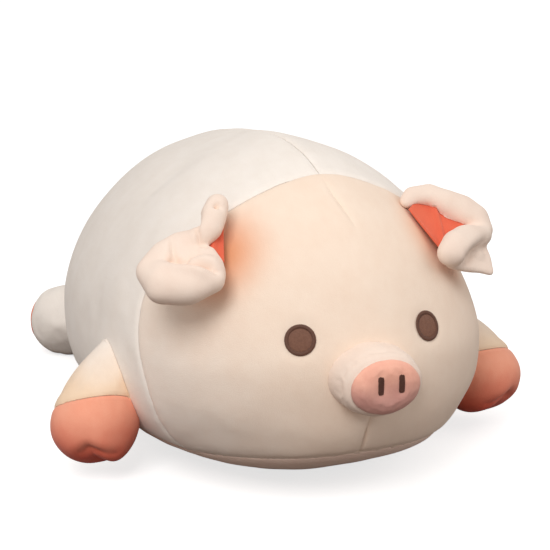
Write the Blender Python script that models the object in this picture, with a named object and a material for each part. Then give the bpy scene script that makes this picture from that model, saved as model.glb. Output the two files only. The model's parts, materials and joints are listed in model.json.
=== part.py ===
"""Plush pig lying on its belly, built from its sewn panels, stuffed limbs and folded ears.

Run it with: blender --background --python part.py
Units are metres, +Z is up, and the pig faces -Y, so its right side is at -X.
The origin is the middle of the toy's bounding box, on the floor.
Names that end in share, shares, power or segments are plain ratios and counts.
"""

import math

import bmesh
import bpy
from mathutils import Matrix, Vector
from mathutils.bvhtree import BVHTree

# Cloth and sewing, metres
SKIN = 0.0020
CLEARANCE = 0.0003
REST_CUT = 0.0005
STITCH_HEIGHT = 0.0010
OVERRUN = 0.0200

# Body, metres, measured from its widest section
BODY_WIDTH = 0.316
FRONT_LENGTH = 0.215
BACK_LENGTH = 0.292
CROWN_HEIGHT = 0.168
WIDEST_HEIGHT = 0.089
CROWN_LEAN = 0.040
NOSE_LIFT = 0.035
FRONT_POWER = 2.3
BACK_POWER = 2.65
CROWN_POWER = 1.75
BELLY_POWER = 2.75
BODY_SEGMENTS = 36
BODY_RINGS = 22

# Seams between the body panels, metres
FACE_SEAM_BACK = 0.108
FACE_SEAM_BULGE = 0.031
FACE_SEAM_BULGE_HEIGHT = 0.160
FACE_SEAM_BULGE_REACH = 0.090
BELLY_SEAM_HEIGHT = 0.031
BELLY_SEAM_RISE = 0.018
SEAM_SEGMENTS = 24

# Snout, metres
SNOUT_REACH = 0.031
SNOUT_ROOT_DEPTH = 0.022
SNOUT_HEIGHT = 0.113
SNOUT_ROOT_WIDTH = 0.073
SNOUT_FRONT_WIDTH = 0.062
SNOUT_PATCH_DEPTH = 0.0085
SNOUT_FLATNESS_SHARE = 0.76
SNOUT_POWER = 3.4
SNOUT_SEGMENTS = 24
SNOUT_RINGS = 12
NOSTRIL_SPACING = 0.0165
NOSTRIL_LENGTH = 0.0135
NOSTRIL_WIDTH = 0.0038
NOSTRIL_LIFT = 0.0035
STITCH_SEGMENTS = 24

# Eyes
EYE_DIAMETER = 0.0235
EYE_PLACE_SHARE = -0.957
EYE_ANGLE_DEG = 22.8

# Legs, metres: one stuffed form, sewn further down on the rear legs
LEG_LENGTH = 0.112
HOOF_DIAMETER = 0.068
TOE_CLEFT_DEPTH = 0.0055
TOE_CLEFT_WIDTH = 0.0080
LEG_TAPER_SHARE = 0.50
FRONT_HOOF_SEAM_SHARE = 0.20
REAR_HOOF_SEAM_SHARE = 0.80
TOE_POWER = 2.3
LEG_SEGMENTS = 18
LEG_RINGS = 11
FRONT_HOOF_OUT = 0.172
FRONT_HOOF_AHEAD = 0.058
FRONT_HOOF_LIFT = 0.013
FRONT_LEG_DIRECTION_SHARES = (0.40, -0.43, -0.81)
REAR_HOOF_OUT = 0.115
REAR_HOOF_BEHIND = 0.268
REAR_HOOF_LIFT = 0.0
REAR_LEG_DIRECTION_SHARES = (0.50, 0.85, -0.17)
SEAT_STEPS = 120

# Ears, metres: a leaf rolled into a cornet, from a base line on the head to a drooping tip
EAR_BASE_LENGTH = 0.066
EAR_REACH = 0.066
EAR_DEPTH = 0.0175
EAR_THICKNESS = 0.0070
EAR_RIM_THICKNESS = 0.0046
EAR_PLACE_SHARE = -0.678
EAR_ANGLE_DEG = 45.0
EAR_BASE_DIRECTION_SHARES = (0.24, -0.74, -0.62)
EAR_SPINE_SHARES = {
    "right": ((0.00, 0.00, 0.00), (0.22, -0.05, 0.52), (0.42, 0.62, 0.40), (0.72, 0.82, 0.04)),
    "left": ((0.000, 0.000, 0.000), (0.194, -0.102, 0.427), (0.431, 0.613, 0.500), (0.949, 0.509, 0.076)),
}
EAR_FOLD_SHARES = {"right": (0.80, -0.60, 0.00), "left": (0.828, -0.404, 0.269)}
EAR_TIP_SHARE = 0.30
EAR_WIDTH_POWER = 1.9
EAR_CUP_SHARE = 0.35
EAR_CLOSE_SHARE = 0.55
EAR_TIP_DEPTH_SHARE = 0.36
EAR_BASE_ROLL_DEG = 40.0
EAR_TIP_ROLL_DEG = 174.0
EAR_MOUTH_TURN_DEG = -24.0
EAR_SEGMENTS = 12
EAR_RINGS = 9

# Tail, metres, a short curl
TAIL_REACH = 0.326
TAIL_HEIGHT = 0.118
TAIL_DIAMETER = 0.0095
TAIL_CURL_DIAMETER = 0.019
TAIL_TURNS = 1.35
TAIL_GROWTH_SHARE = 0.40
TAIL_SEGMENTS = 12
TAIL_RINGS = 30
TAIL_END_RINGS = 3

# Guards against dividing by nothing
TINY_SHARE = 1e-9
SLOPE_STEP_SHARE = 0.01

# Places that follow from the sizes above
BODY_HALF = BODY_WIDTH / 2
WIDEST_Y = (FRONT_LENGTH + SNOUT_REACH + CLEARANCE + STITCH_HEIGHT - TAIL_REACH) / 2
SNOUT_FRONT_Y = WIDEST_Y - FRONT_LENGTH - SNOUT_REACH
PATTERN_FRONT = SNOUT_FRONT_Y - OVERRUN
PATTERN_BACK = WIDEST_Y + BACK_LENGTH + CROWN_LEAN + OVERRUN
PATTERN_TOP = WIDEST_HEIGHT + CROWN_HEIGHT + NOSE_LIFT + OVERRUN
PATTERN_SIDE = BODY_HALF + OVERRUN

# Colours of the cloths
CREAM = (0.91, 0.85, 0.78, 1.0)
PEACH = (0.95, 0.74, 0.58, 1.0)
CORAL = (0.90, 0.30, 0.19, 1.0)
PINK = (0.88, 0.42, 0.34, 1.0)
BROWN = (0.13, 0.06, 0.04, 1.0)
FILLING = (0.93, 0.93, 0.92, 1.0)
CLOTH_ROUGHNESS = 0.9

SIDES = ((-1, "right"), (1, "left"))


# Scene

def clear_scene():
    for existing in list(bpy.data.objects):
        bpy.data.objects.remove(existing, do_unlink=True)


def new_collection(name):
    collection = bpy.data.collections.new(name)
    bpy.context.scene.collection.children.link(collection)
    return collection


def cloth_material(name, colour):
    """Short-pile plush or thread: matt, with no metal in it."""
    material = bpy.data.materials.new(name)
    material.use_nodes = True
    shader = material.node_tree.nodes["Principled BSDF"]
    shader.inputs["Base Color"].default_value = colour
    shader.inputs["Roughness"].default_value = CLOTH_ROUGHNESS
    shader.inputs["Metallic"].default_value = 0.0
    return material


def add_piece(name, mesh, material, collection, pivot=None):
    """Put a mesh in the scene where it was made, with its origin at the pivot it turns about."""
    mesh.materials.append(material)
    piece = bpy.data.objects.new(name, mesh)
    if pivot is not None:
        mesh.transform(Matrix.Translation(-pivot))
        piece.location = pivot
    collection.objects.link(piece)
    return piece


def add_cutter(mesh, collection, frame=None):
    """A hidden solid that only trims the pieces."""
    cutter = bpy.data.objects.new(mesh.name, mesh)
    cutter.hide_render = True
    cutter.display_type = 'WIRE'
    if frame is not None:
        cutter.matrix_world = frame
    collection.objects.link(cutter)
    return cutter


def trim(piece, cutter, operation='DIFFERENCE'):
    modifier = piece.modifiers.new(operation.title() + " " + cutter.name, 'BOOLEAN')
    modifier.operation = operation
    modifier.solver = 'EXACT'
    modifier.object = cutter


# Meshes

def face_outwards(bm):
    """Turn every face outwards, judged by where the points are now."""
    bm.normal_update()
    bmesh.ops.recalc_face_normals(bm, faces=bm.faces[:])
    bm.normal_update()


def finish_mesh(bm, name):
    face_outwards(bm)
    mesh = bpy.data.meshes.new(name)
    bm.to_mesh(mesh)
    bm.free()
    mesh.shade_smooth()
    return mesh


def box_mesh(name, low, high):
    """A box between two corners."""
    low = Vector(low)
    high = Vector(high)
    bm = bmesh.new()
    bmesh.ops.create_cube(bm, size=1)
    bmesh.ops.scale(bm, vec=high - low, verts=bm.verts[:])
    bmesh.ops.translate(bm, vec=(low + high) / 2, verts=bm.verts[:])
    return finish_mesh(bm, name)


def sphere_form(shape, segments, rings, offset=0.0):
    """Move a unit sphere's points to shape(point), then out along their normals by the offset.

    The sphere is cut into triangles first, so that two forms of one shape stay the same distance
    apart all over.
    """
    bm = bmesh.new()
    bmesh.ops.create_uvsphere(bm, u_segments=segments, v_segments=rings, radius=1)
    bmesh.ops.triangulate(bm, faces=bm.faces[:])
    for vert in bm.verts:
        vert.co = shape(vert.co.copy())
    face_outwards(bm)
    places = [vert.co + vert.normal * offset for vert in bm.verts]
    for vert, place in zip(bm.verts, places):
        vert.co = place
    return bm


def solid_form(name, shape, segments, rings, offset=0.0):
    return finish_mesh(sphere_form(shape, segments, rings, offset), name)


def inside_of(name, shape, segments, rings, collection):
    """What the cloth of a form encloses, one skin further in."""
    return add_cutter(solid_form("inside of " + name, shape, segments, rings, -SKIN), collection)


# Body

def signed_power(value, power):
    return math.copysign(abs(value) ** power, value)


def body_surface(along, across, up):
    """The body's surface, from how far along it lies (-1 nose, 1 tail) and a unit direction across."""
    power = FRONT_POWER if along < 0 else BACK_POWER
    length = FRONT_LENGTH if along < 0 else BACK_LENGTH
    girth = max(1 - abs(along) ** power, 0) ** (1 / power)
    section = CROWN_POWER if up > 0 else BELLY_POWER
    x = BODY_HALF * girth * signed_power(across, 2 / section)
    y = WIDEST_Y + length * along + CROWN_LEAN * max(up, 0) * girth
    middle = WIDEST_HEIGHT - NOSE_LIFT * along
    swell = girth * abs(up) ** (2 / section)
    if up > 0:
        z = middle + CROWN_HEIGHT * swell
    elif along > 0:
        z = middle * (1 - swell)
    else:
        z = WIDEST_HEIGHT * (1 - swell) - NOSE_LIFT * along * (1 - abs(up))
    return Vector((x, y, z - REST_CUT))


def body_shape(point):
    """A unit sphere with its poles on Z becomes the body with its poles at nose and tail."""
    spread = max(math.hypot(point.x, point.y), TINY_SHARE)
    return body_surface(-point.z, point.x / spread, point.y / spread)


def body_place(along, angle_deg, side=1):
    """A point of the body's surface; the angle goes up from the widest line."""
    angle = math.radians(angle_deg)
    place = body_surface(along, math.cos(angle), math.sin(angle))
    place.x *= side
    return place


def body_form(name, offset=0.0):
    return solid_form(name, body_shape, BODY_SEGMENTS, BODY_RINGS, offset)


def face_seam_y(z):
    """The seam round the face reaches further back over the brow."""
    reach = (z - FACE_SEAM_BULGE_HEIGHT) / FACE_SEAM_BULGE_REACH
    bulge = 0.5 + 0.5 * math.cos(math.pi * max(-1, min(1, reach)))
    return WIDEST_Y - FACE_SEAM_BACK + FACE_SEAM_BULGE * bulge


def belly_seam_z(y):
    """The seam round the belly climbs towards the chin."""
    ahead = (WIDEST_Y - FACE_SEAM_BACK - y) / (FRONT_LENGTH - FACE_SEAM_BACK)
    return BELLY_SEAM_HEIGHT + BELLY_SEAM_RISE * max(0, min(1, ahead))


def seam_block(name, axis, low, high, seam):
    """A box cut into strips along one axis; its far side on the other follows the seam."""
    seam_axis = 3 - axis
    bm = bmesh.new()
    bmesh.ops.create_cube(bm, size=1)
    along = [edge for edge in bm.edges if edge.verts[0].co[axis] != edge.verts[1].co[axis]]
    bmesh.ops.subdivide_edges(bm, edges=along, cuts=SEAM_SEGMENTS - 1)
    for vert in bm.verts:
        place = [low[i] + (high[i] - low[i]) * (vert.co[i] + 0.5) for i in range(3)]
        if vert.co[seam_axis] > 0:
            place[seam_axis] = seam(place[axis])
        vert.co = place
    return finish_mesh(bm, name)


def seam_patterns(cutters):
    """Solids up to each seam: one half a clearance short of it, one half a clearance past it.

    The belly's own pattern starts at the floor, which cuts its rest face flat.
    """
    gap = CLEARANCE / 2
    side, front, back, top = PATTERN_SIDE, PATTERN_FRONT, PATTERN_BACK, PATTERN_TOP
    corner = (-side, front, -OVERRUN)
    meshes = [
        seam_block("belly pattern", 1, (-side, front, 0), (side, back, 0), lambda y: belly_seam_z(y) - gap),
        seam_block("below belly seam", 1, corner, (side, back, 0), lambda y: belly_seam_z(y) + gap),
        seam_block("face pattern", 2, corner, (side, 0, top), lambda z: face_seam_y(z) - gap),
        seam_block("ahead of face seam", 2, corner, (side, 0, top), lambda z: face_seam_y(z) + gap),
        box_mesh("left of back seam", (-gap, front, -OVERRUN), (side, back, top)),
        box_mesh("right of back seam", corner, (gap, back, top)),
    ]
    return {mesh.name: add_cutter(mesh, cutters) for mesh in meshes}


def build_body(parts, cutters, cloths):
    """The filling and the four sewn panels round it."""
    filling = body_form("body_stuffing", -(SKIN + CLEARANCE))
    add_piece("body_stuffing", filling, cloths["filling"], parts)
    patterns = seam_patterns(cutters)
    inside = inside_of("body", body_shape, BODY_SEGMENTS, BODY_RINGS, cutters)
    panels = (
        ("belly_panel", "cream", "belly pattern", ()),
        ("face_panel", "peach", "face pattern", ("below belly seam",)),
        ("back_panel_right", "cream", None, ("below belly seam", "ahead of face seam", "left of back seam")),
        ("back_panel_left", "cream", None, ("below belly seam", "ahead of face seam", "right of back seam")),
    )
    for name, cloth, kept, cuts in panels:
        panel = add_piece(name, body_form(name), cloths[cloth], parts)
        for pattern in cuts:
            trim(panel, patterns[pattern])
        if kept is not None:
            trim(panel, patterns[kept], 'INTERSECT')
        trim(panel, inside)


# Embroidery

def stitched_stub(name, middle, facing, width, height):
    """A stub through the cloth; the cloth's own surfaces then trim its ends."""
    bm = bmesh.new()
    bmesh.ops.create_cone(bm, cap_ends=True, segments=STITCH_SEGMENTS, radius1=1, radius2=1, depth=1)
    bmesh.ops.scale(bm, vec=(width / 2, height / 2, OVERRUN), verts=bm.verts[:])
    turn = facing.to_track_quat('Z', 'Y').to_matrix().to_4x4()
    bmesh.ops.transform(bm, matrix=Matrix.Translation(middle) @ turn, verts=bm.verts[:])
    return finish_mesh(bm, name)


def build_eyes(parts, cutters, cloths, body_cutter, tree):
    raised = add_cutter(body_form("top of eye stitches", CLEARANCE + STITCH_HEIGHT), cutters)
    for side, label in SIDES:
        middle = body_place(EYE_PLACE_SHARE, EYE_ANGLE_DEG, side)
        facing = tree.find_nearest(middle)[1]
        stub = stitched_stub("eye_" + label, middle, facing, EYE_DIAMETER, EYE_DIAMETER)
        eye = add_piece("eye_" + label, stub, cloths["brown"], parts)
        trim(eye, raised, 'INTERSECT')
        trim(eye, body_cutter)


# Snout

def snout_shape(point):
    """A short oval tube with rounded edges; its poles are its front and its root."""
    spread = max(math.hypot(point.x, point.y), TINY_SHARE)
    girth = spread ** (2 / SNOUT_POWER)
    share = (1 - signed_power(point.z, 2 / SNOUT_POWER)) / 2
    width = SNOUT_FRONT_WIDTH + (SNOUT_ROOT_WIDTH - SNOUT_FRONT_WIDTH) * share
    x = width / 2 * girth * point.x / spread
    z = width / 2 * girth * SNOUT_FLATNESS_SHARE * point.y / spread
    return Vector((x, SNOUT_FRONT_Y + (SNOUT_REACH + SNOUT_ROOT_DEPTH) * share, SNOUT_HEIGHT + z))


def build_snout(parts, cutters, cloths, body_cutter):
    """A cream side band, a pink front, two stitched nostrils and the filling, seated on the face."""
    gap = CLEARANCE / 2
    seam = SNOUT_FRONT_Y + SNOUT_PATCH_DEPTH
    side, front, top = PATTERN_SIDE, PATTERN_FRONT, PATTERN_TOP
    ahead = add_cutter(box_mesh("ahead of snout seam", (-side, front, 0), (side, seam + gap, top)), cutters)
    behind = add_cutter(box_mesh("behind snout seam", (-side, seam - gap, 0), (side, WIDEST_Y, top)), cutters)

    inside = inside_of("snout", snout_shape, SNOUT_SEGMENTS, SNOUT_RINGS, cutters)
    for name, cloth, cuts in (("snout_band", "cream", (ahead, body_cutter, inside)),
                              ("snout_patch", "pink", (behind, inside))):
        form = solid_form(name, snout_shape, SNOUT_SEGMENTS, SNOUT_RINGS)
        piece = add_piece(name, form, cloths[cloth], parts)
        for cutter in cuts:
            trim(piece, cutter)
    filling = solid_form("snout_stuffing", snout_shape, SNOUT_SEGMENTS, SNOUT_RINGS, -(SKIN + CLEARANCE))
    trim(add_piece("snout_stuffing", filling, cloths["filling"], parts), body_cutter)

    raised = add_cutter(solid_form("top of nostril stitches", snout_shape, SNOUT_SEGMENTS, SNOUT_RINGS,
                                   CLEARANCE + STITCH_HEIGHT), cutters)
    seat = add_cutter(solid_form("seat of nostril stitches", snout_shape, SNOUT_SEGMENTS, SNOUT_RINGS,
                                 CLEARANCE), cutters)
    for side, label in SIDES:
        middle = Vector((side * NOSTRIL_SPACING / 2, SNOUT_FRONT_Y, SNOUT_HEIGHT + NOSTRIL_LIFT))
        bar = stitched_stub("nostril_" + label, middle, Vector((0, -1, 0)), NOSTRIL_WIDTH, NOSTRIL_LENGTH)
        nostril = add_piece("nostril_" + label, bar, cloths["brown"], parts)
        trim(nostril, raised, 'INTERSECT')
        trim(nostril, seat)


# Legs

def fullest_share():
    """How far towards the toe the leg is fullest, and how full it is there, as shares."""
    taper = LEG_TAPER_SHARE
    along = (math.sqrt(1 + 8 * taper ** 2) - 1) / (4 * taper)
    return along, math.sqrt(1 - along ** 2) * (1 + taper * along)


def leg_shape(frame):
    """A drop that swells towards the hoof, with a cleft that parts the two toes."""
    fullest = fullest_share()[1]

    def shape(point):
        spread = max(math.hypot(point.x, point.y), TINY_SHARE)
        along = point.z
        power = TOE_POWER if along > 0 else 2
        girth = (max(1 - abs(along) ** power, 0) ** (1 / power)) * (1 + LEG_TAPER_SHARE * along) / fullest
        x = HOOF_DIAMETER / 2 * girth * point.x / spread
        y = HOOF_DIAMETER / 2 * girth * point.y / spread
        z = along * LEG_LENGTH / 2
        dent = TOE_CLEFT_DEPTH * max(0, along) ** 2 * math.exp(-(x / TOE_CLEFT_WIDTH) ** 2)
        inward = Vector((0, y, z)).normalized()
        return frame @ (Vector((x, y, z)) - inward * dent)

    return shape


def leg_frame(hoof, direction):
    """The leg's own frame: origin halfway along it, +Z to the toe, +X level.

    The hoof is given by where its fullest part stands in plan and how far its lowest point clears
    the floor. A hoof on the floor is sunk a little, so that the floor cuts a rest face on it.
    """
    level = Vector((0, 0, 1)).cross(direction).normalized()
    frame = Matrix((level, direction.cross(level), direction)).transposed().to_4x4()
    frame.translation = hoof - direction * (LEG_LENGTH / 2 * fullest_share()[0])
    form = sphere_form(leg_shape(frame), LEG_SEGMENTS, LEG_RINGS)
    lowest = min(vert.co.z for vert in form.verts)
    form.free()
    frame.translation.z += hoof.z - lowest - REST_CUT
    return frame


def seat_top(shape, tree):
    """The highest point of the ring where the leg's surface meets the body."""
    highest = None
    for turn in range(LEG_SEGMENTS):
        angle = 2 * math.pi * turn / LEG_SEGMENTS
        for step in range(SEAT_STEPS):
            along = 1 - 2 * step / SEAT_STEPS
            spread = math.sqrt(1 - along ** 2)
            place = shape(Vector((spread * math.cos(angle), spread * math.sin(angle), along)))
            nearest, normal = tree.find_nearest(place)[:2]
            if (place - nearest).dot(normal) < 0:
                if highest is None or nearest.z > highest.z:
                    highest = nearest
                break
    return highest


def build_leg(name, hoof, direction, seam_share, parts, cutters, cloths, trims, tree):
    """A cream sleeve, a coral hoof and the filling of one leg, turning about the top of its root."""
    frame = leg_frame(hoof, direction)
    shape = leg_shape(frame)
    pivot = seat_top(shape, tree)
    gap = CLEARANCE / 2
    seam = LEG_LENGTH / 2 * seam_share
    far = LEG_LENGTH
    past_seam = box_mesh("toe side of " + name, (-far, -far, seam - gap), (far, far, far))
    before_seam = box_mesh("root side of " + name, (-far, -far, -far), (far, far, seam + gap))
    toe_side = add_cutter(past_seam, cutters, frame)
    root_side = add_cutter(before_seam, cutters, frame)
    inside = inside_of(name, shape, LEG_SEGMENTS, LEG_RINGS, cutters)
    for part, cloth, far_side in (("_sleeve", "cream", toe_side), ("_hoof", "coral", root_side)):
        form = solid_form(name + part, shape, LEG_SEGMENTS, LEG_RINGS)
        piece = add_piece(name + part, form, cloths[cloth], parts, pivot)
        for cutter in (far_side, *trims, inside):
            trim(piece, cutter)
    filling = solid_form(name + "_stuffing", shape, LEG_SEGMENTS, LEG_RINGS, -(SKIN + CLEARANCE))
    trim(add_piece(name + "_stuffing", filling, cloths["filling"], parts, pivot), trims[0])


def build_legs(parts, cutters, cloths, body_cutter, tree):
    far = PATTERN_BACK
    floor = add_cutter(box_mesh("floor", (-far, -far, -OVERRUN), (far, far, 0)), cutters)
    for side, label in SIDES:
        for name, hoof, shares, seam_share in (
            ("front_leg_", Vector((side * FRONT_HOOF_OUT, WIDEST_Y - FRONT_HOOF_AHEAD, FRONT_HOOF_LIFT)),
             FRONT_LEG_DIRECTION_SHARES, FRONT_HOOF_SEAM_SHARE),
            ("rear_leg_", Vector((side * REAR_HOOF_OUT, WIDEST_Y + REAR_HOOF_BEHIND, REAR_HOOF_LIFT)),
             REAR_LEG_DIRECTION_SHARES, REAR_HOOF_SEAM_SHARE),
        ):
            direction = Vector((side * shares[0], shares[1], shares[2])).normalized()
            build_leg(name + label, hoof, direction, seam_share, parts, cutters, cloths,
                      (body_cutter, floor), tree)


# Ears

def bezier(shares, t):
    """A point of the cubic curve through four control shares."""
    weights = ((1 - t) ** 3, 3 * t * (1 - t) ** 2, 3 * t * t * (1 - t), t ** 3)
    return sum((weight * Vector(share) for weight, share in zip(weights, shares)), Vector((0, 0, 0)))


def ease(share):
    """From 0 to 1 with a soft start and a soft end."""
    share = max(0, min(1, share))
    return share * share * (3 - 2 * share)


def ear_frame(side):
    """Origin at the middle of the ear's base line: X down the line, Y outwards, Z off the head."""
    base = Vector(EAR_BASE_DIRECTION_SHARES).normalized()
    outward = base.cross(Vector((0, 0, -1))).normalized()
    off = outward.cross(base).normalized()
    off *= math.copysign(1, off.z)
    frame = Matrix((base, off.cross(base), off)).transposed().to_4x4()
    frame.translation = body_place(EAR_PLACE_SHARE, EAR_ANGLE_DEG) + off * (EAR_RIM_THICKNESS / 2 + CLEARANCE)
    mirror = Matrix.Scale(side, 4, Vector((1, 0, 0)))
    return mirror @ frame


def ear_middle(across, along, label):
    """The ear's middle surface in its own frame; across is -1 at the upper rim, along is 0 at the base."""
    spine = EAR_SPINE_SHARES[label]
    centre = bezier(spine, along) * EAR_REACH
    ahead = (bezier(spine, along + SLOPE_STEP_SHARE) - bezier(spine, along - SLOPE_STEP_SHARE)).normalized()
    turned = ease(along)
    fold = Vector((1, 0, 0)).lerp(Vector(EAR_FOLD_SHARES[label]), turned)
    fold = (fold - ahead * fold.dot(ahead) * turned).normalized()
    closed = ease(along / EAR_CLOSE_SHARE)
    bulge = ahead.cross(fold).normalized()
    width = EAR_BASE_LENGTH / 2 * (1 - (1 - EAR_TIP_SHARE) * max(0, along) ** EAR_WIDTH_POWER)
    depth = EAR_DEPTH * ease(along / EAR_CUP_SHARE) * (1 - (1 - EAR_TIP_DEPTH_SHARE) * along ** 2)
    roll = math.radians(EAR_BASE_ROLL_DEG + (EAR_TIP_ROLL_DEG - EAR_BASE_ROLL_DEG) * closed)
    width /= math.sin(min(roll, math.pi / 2))
    angle = across * roll + math.radians(EAR_MOUTH_TURN_DEG) * closed
    return centre + fold * (width * math.sin(angle)) + bulge * (depth * math.cos(angle))


def ear_normal(across, along, label):
    step = SLOPE_STEP_SHARE
    run_across = ear_middle(across + step, along, label) - ear_middle(across - step, along, label)
    run_along = ear_middle(across, along + step, label) - ear_middle(across, along - step, label)
    return run_along.cross(run_across).normalized()


def ear_half_thickness(across, along):
    """Fullest in the middle, thin at the rims and at the base."""
    pillow = (1 - across ** 4) * (1 - (2 * along - 1) ** 4)
    rim = EAR_RIM_THICKNESS / 2
    return rim + (EAR_THICKNESS / 2 - rim) * math.sqrt(max(0, pillow))


def ear_layer(name, frame, label, low, high, tree, inner=False):
    """One layer of the ear between two depths; its base edge rounds down to just clear the head.

    An inner layer stops one row of the pattern short of every edge.
    """
    bm = bmesh.new()
    bmesh.ops.create_grid(bm, x_segments=EAR_SEGMENTS, y_segments=EAR_RINGS, size=1)
    if inner:
        edge = [face for face in bm.faces if any(vert.is_boundary for vert in face.verts)]
        bmesh.ops.delete(bm, geom=edge, context='FACES')
    bmesh.ops.triangulate(bm, faces=bm.faces[:])
    top = bmesh.ops.extrude_face_region(bm, geom=bm.faces[:])["geom"]
    raised = {element for element in top if isinstance(element, bmesh.types.BMVert)}
    turn = frame.to_3x3()
    for vert in bm.verts:
        across = vert.co.x
        along = (vert.co.y + 1) / 2
        half = ear_half_thickness(across, along)
        depth = high(half) if vert in raised else low(half)
        if along > 0:
            vert.co = frame @ (ear_middle(across, along, label) + ear_normal(across, along, label) * depth)
        else:
            line = frame @ ear_middle(across, along, label)
            room = tree.find_nearest(line)[3]
            vert.co = line + turn @ Vector((0, depth, -math.sqrt(max(0, room ** 2 - depth ** 2))))
    return finish_mesh(bm, name)


def build_ears(parts, cloths, tree):
    """Cream cloth outside, coral cloth inside and thin padding between them."""
    inset = SKIN + CLEARANCE
    layers = (
        ("_outer", "cream", lambda half: half - SKIN, lambda half: half, False),
        ("_lining", "coral", lambda half: -half, lambda half: SKIN - half, False),
        ("_padding", "filling", lambda half: inset - half, lambda half: half - inset, True),
    )
    for side, label in SIDES:
        frame = ear_frame(side)
        for part, cloth, low, high, inner in layers:
            name = "ear_" + label + part
            mesh = ear_layer(name, frame, label, low, high, tree, inner)
            add_piece(name, mesh, cloths[cloth], parts, frame.translation)


# Tail

def tail_root(tree):
    """Where the round root's middle sits, so that it just clears the rump at any angle."""
    behind = Vector((0, PATTERN_BACK, TAIL_HEIGHT))
    rump = tree.ray_cast(behind, Vector((0, -1, 0)))[0]
    root = rump
    for _ in range(SEAT_STEPS):
        short = TAIL_DIAMETER / 2 - tree.find_nearest(root)[3]
        root = root + Vector((0, max(0, short), 0))
    return root


def tail_spine(root):
    """Points of the line the tail follows: straight back first, then winding round."""
    reach = WIDEST_Y + TAIL_REACH - TAIL_DIAMETER / 2 - root.y
    count = TAIL_RINGS - 2 * TAIL_END_RINGS
    points = []
    for step in range(count + 1):
        share = step / count
        growth = min(1, share / TAIL_GROWTH_SHARE)
        radius = TAIL_CURL_DIAMETER / 2 * growth * growth * (3 - 2 * growth)
        turn = 2 * math.pi * TAIL_TURNS * share
        points.append(root + Vector((radius * math.sin(turn), reach * share, radius * (1 - math.cos(turn)))))
    return points


def tail_rings(root):
    """Middle, two directions across and radius of every ring of the tail, with half balls at its ends."""
    points = tail_spine(root)
    radius = TAIL_DIAMETER / 2
    last = len(points) - 1
    across = Vector((1, 0, 0))
    rings = []
    for ring in range(TAIL_RINGS + 1):
        step = max(0, min(last, ring - TAIL_END_RINGS))
        if step == 0:
            ahead = Vector((0, 1, 0))
        else:
            ahead = (points[min(step + 1, last)] - points[step - 1]).normalized()
        across = (across - ahead * across.dot(ahead)).normalized()
        past_end = ring - TAIL_END_RINGS - step
        slope = math.pi / 2 * past_end / TAIL_END_RINGS
        middle = points[step] + ahead * (radius * math.sin(slope))
        rings.append((middle, across, ahead.cross(across), radius * math.cos(slope)))
    return rings


def build_tail(parts, cloths, tree):
    """A narrow rolled tube of cream cloth with round ends."""
    root = tail_root(tree)
    rings = tail_rings(root)
    bm = bmesh.new()
    bmesh.ops.create_uvsphere(bm, u_segments=TAIL_SEGMENTS, v_segments=TAIL_RINGS, radius=1)
    for vert in bm.verts:
        turn = math.acos(max(-1, min(1, vert.co.z)))
        middle, side, up, radius = rings[round(turn / math.pi * TAIL_RINGS)]
        spread = max(math.hypot(vert.co.x, vert.co.y), TINY_SHARE)
        vert.co = middle + (side * vert.co.x + up * vert.co.y) * (radius / spread)
    add_piece("tail", finish_mesh(bm, "tail"), cloths["cream"], parts, root)


def main():
    clear_scene()
    parts = new_collection("plush_pig")
    cutters = new_collection("cutters")
    cloths = {
        "cream": cloth_material("cream_plush", CREAM),
        "peach": cloth_material("peach_plush", PEACH),
        "coral": cloth_material("coral_plush", CORAL),
        "pink": cloth_material("pink_plush", PINK),
        "brown": cloth_material("brown_thread", BROWN),
        "filling": cloth_material("fibre_filling", FILLING),
    }
    body_cutter = add_cutter(body_form("body clearance", CLEARANCE), cutters)
    bm = bmesh.new()
    bm.from_mesh(body_cutter.data)
    tree = BVHTree.FromBMesh(bm)
    bm.free()
    build_body(parts, cutters, cloths)
    build_eyes(parts, cutters, cloths, body_cutter, tree)
    build_snout(parts, cutters, cloths, body_cutter)
    build_legs(parts, cutters, cloths, body_cutter, tree)
    build_ears(parts, cloths, tree)
    build_tail(parts, cloths, tree)


main()
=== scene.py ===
"""Looks of the plush pig: velour panels, stuffed legs, folded ears, stitched eyes and nostrils.

Units are metres, +Z is up and the pig faces -Y, so its right side is at -X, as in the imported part.
"""

import json
import logging
import math
from dataclasses import dataclass, replace
from enum import Enum
from functools import partial
from typing import Callable, Optional

import bmesh
import bpy
from bmesh.types import BMesh, BMVert
from bpy.types import Material, Node, NodeSocket, NodeTree, Object
from mathutils import Matrix, Vector, noise
from mathutils.bvhtree import BVHTree

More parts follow.
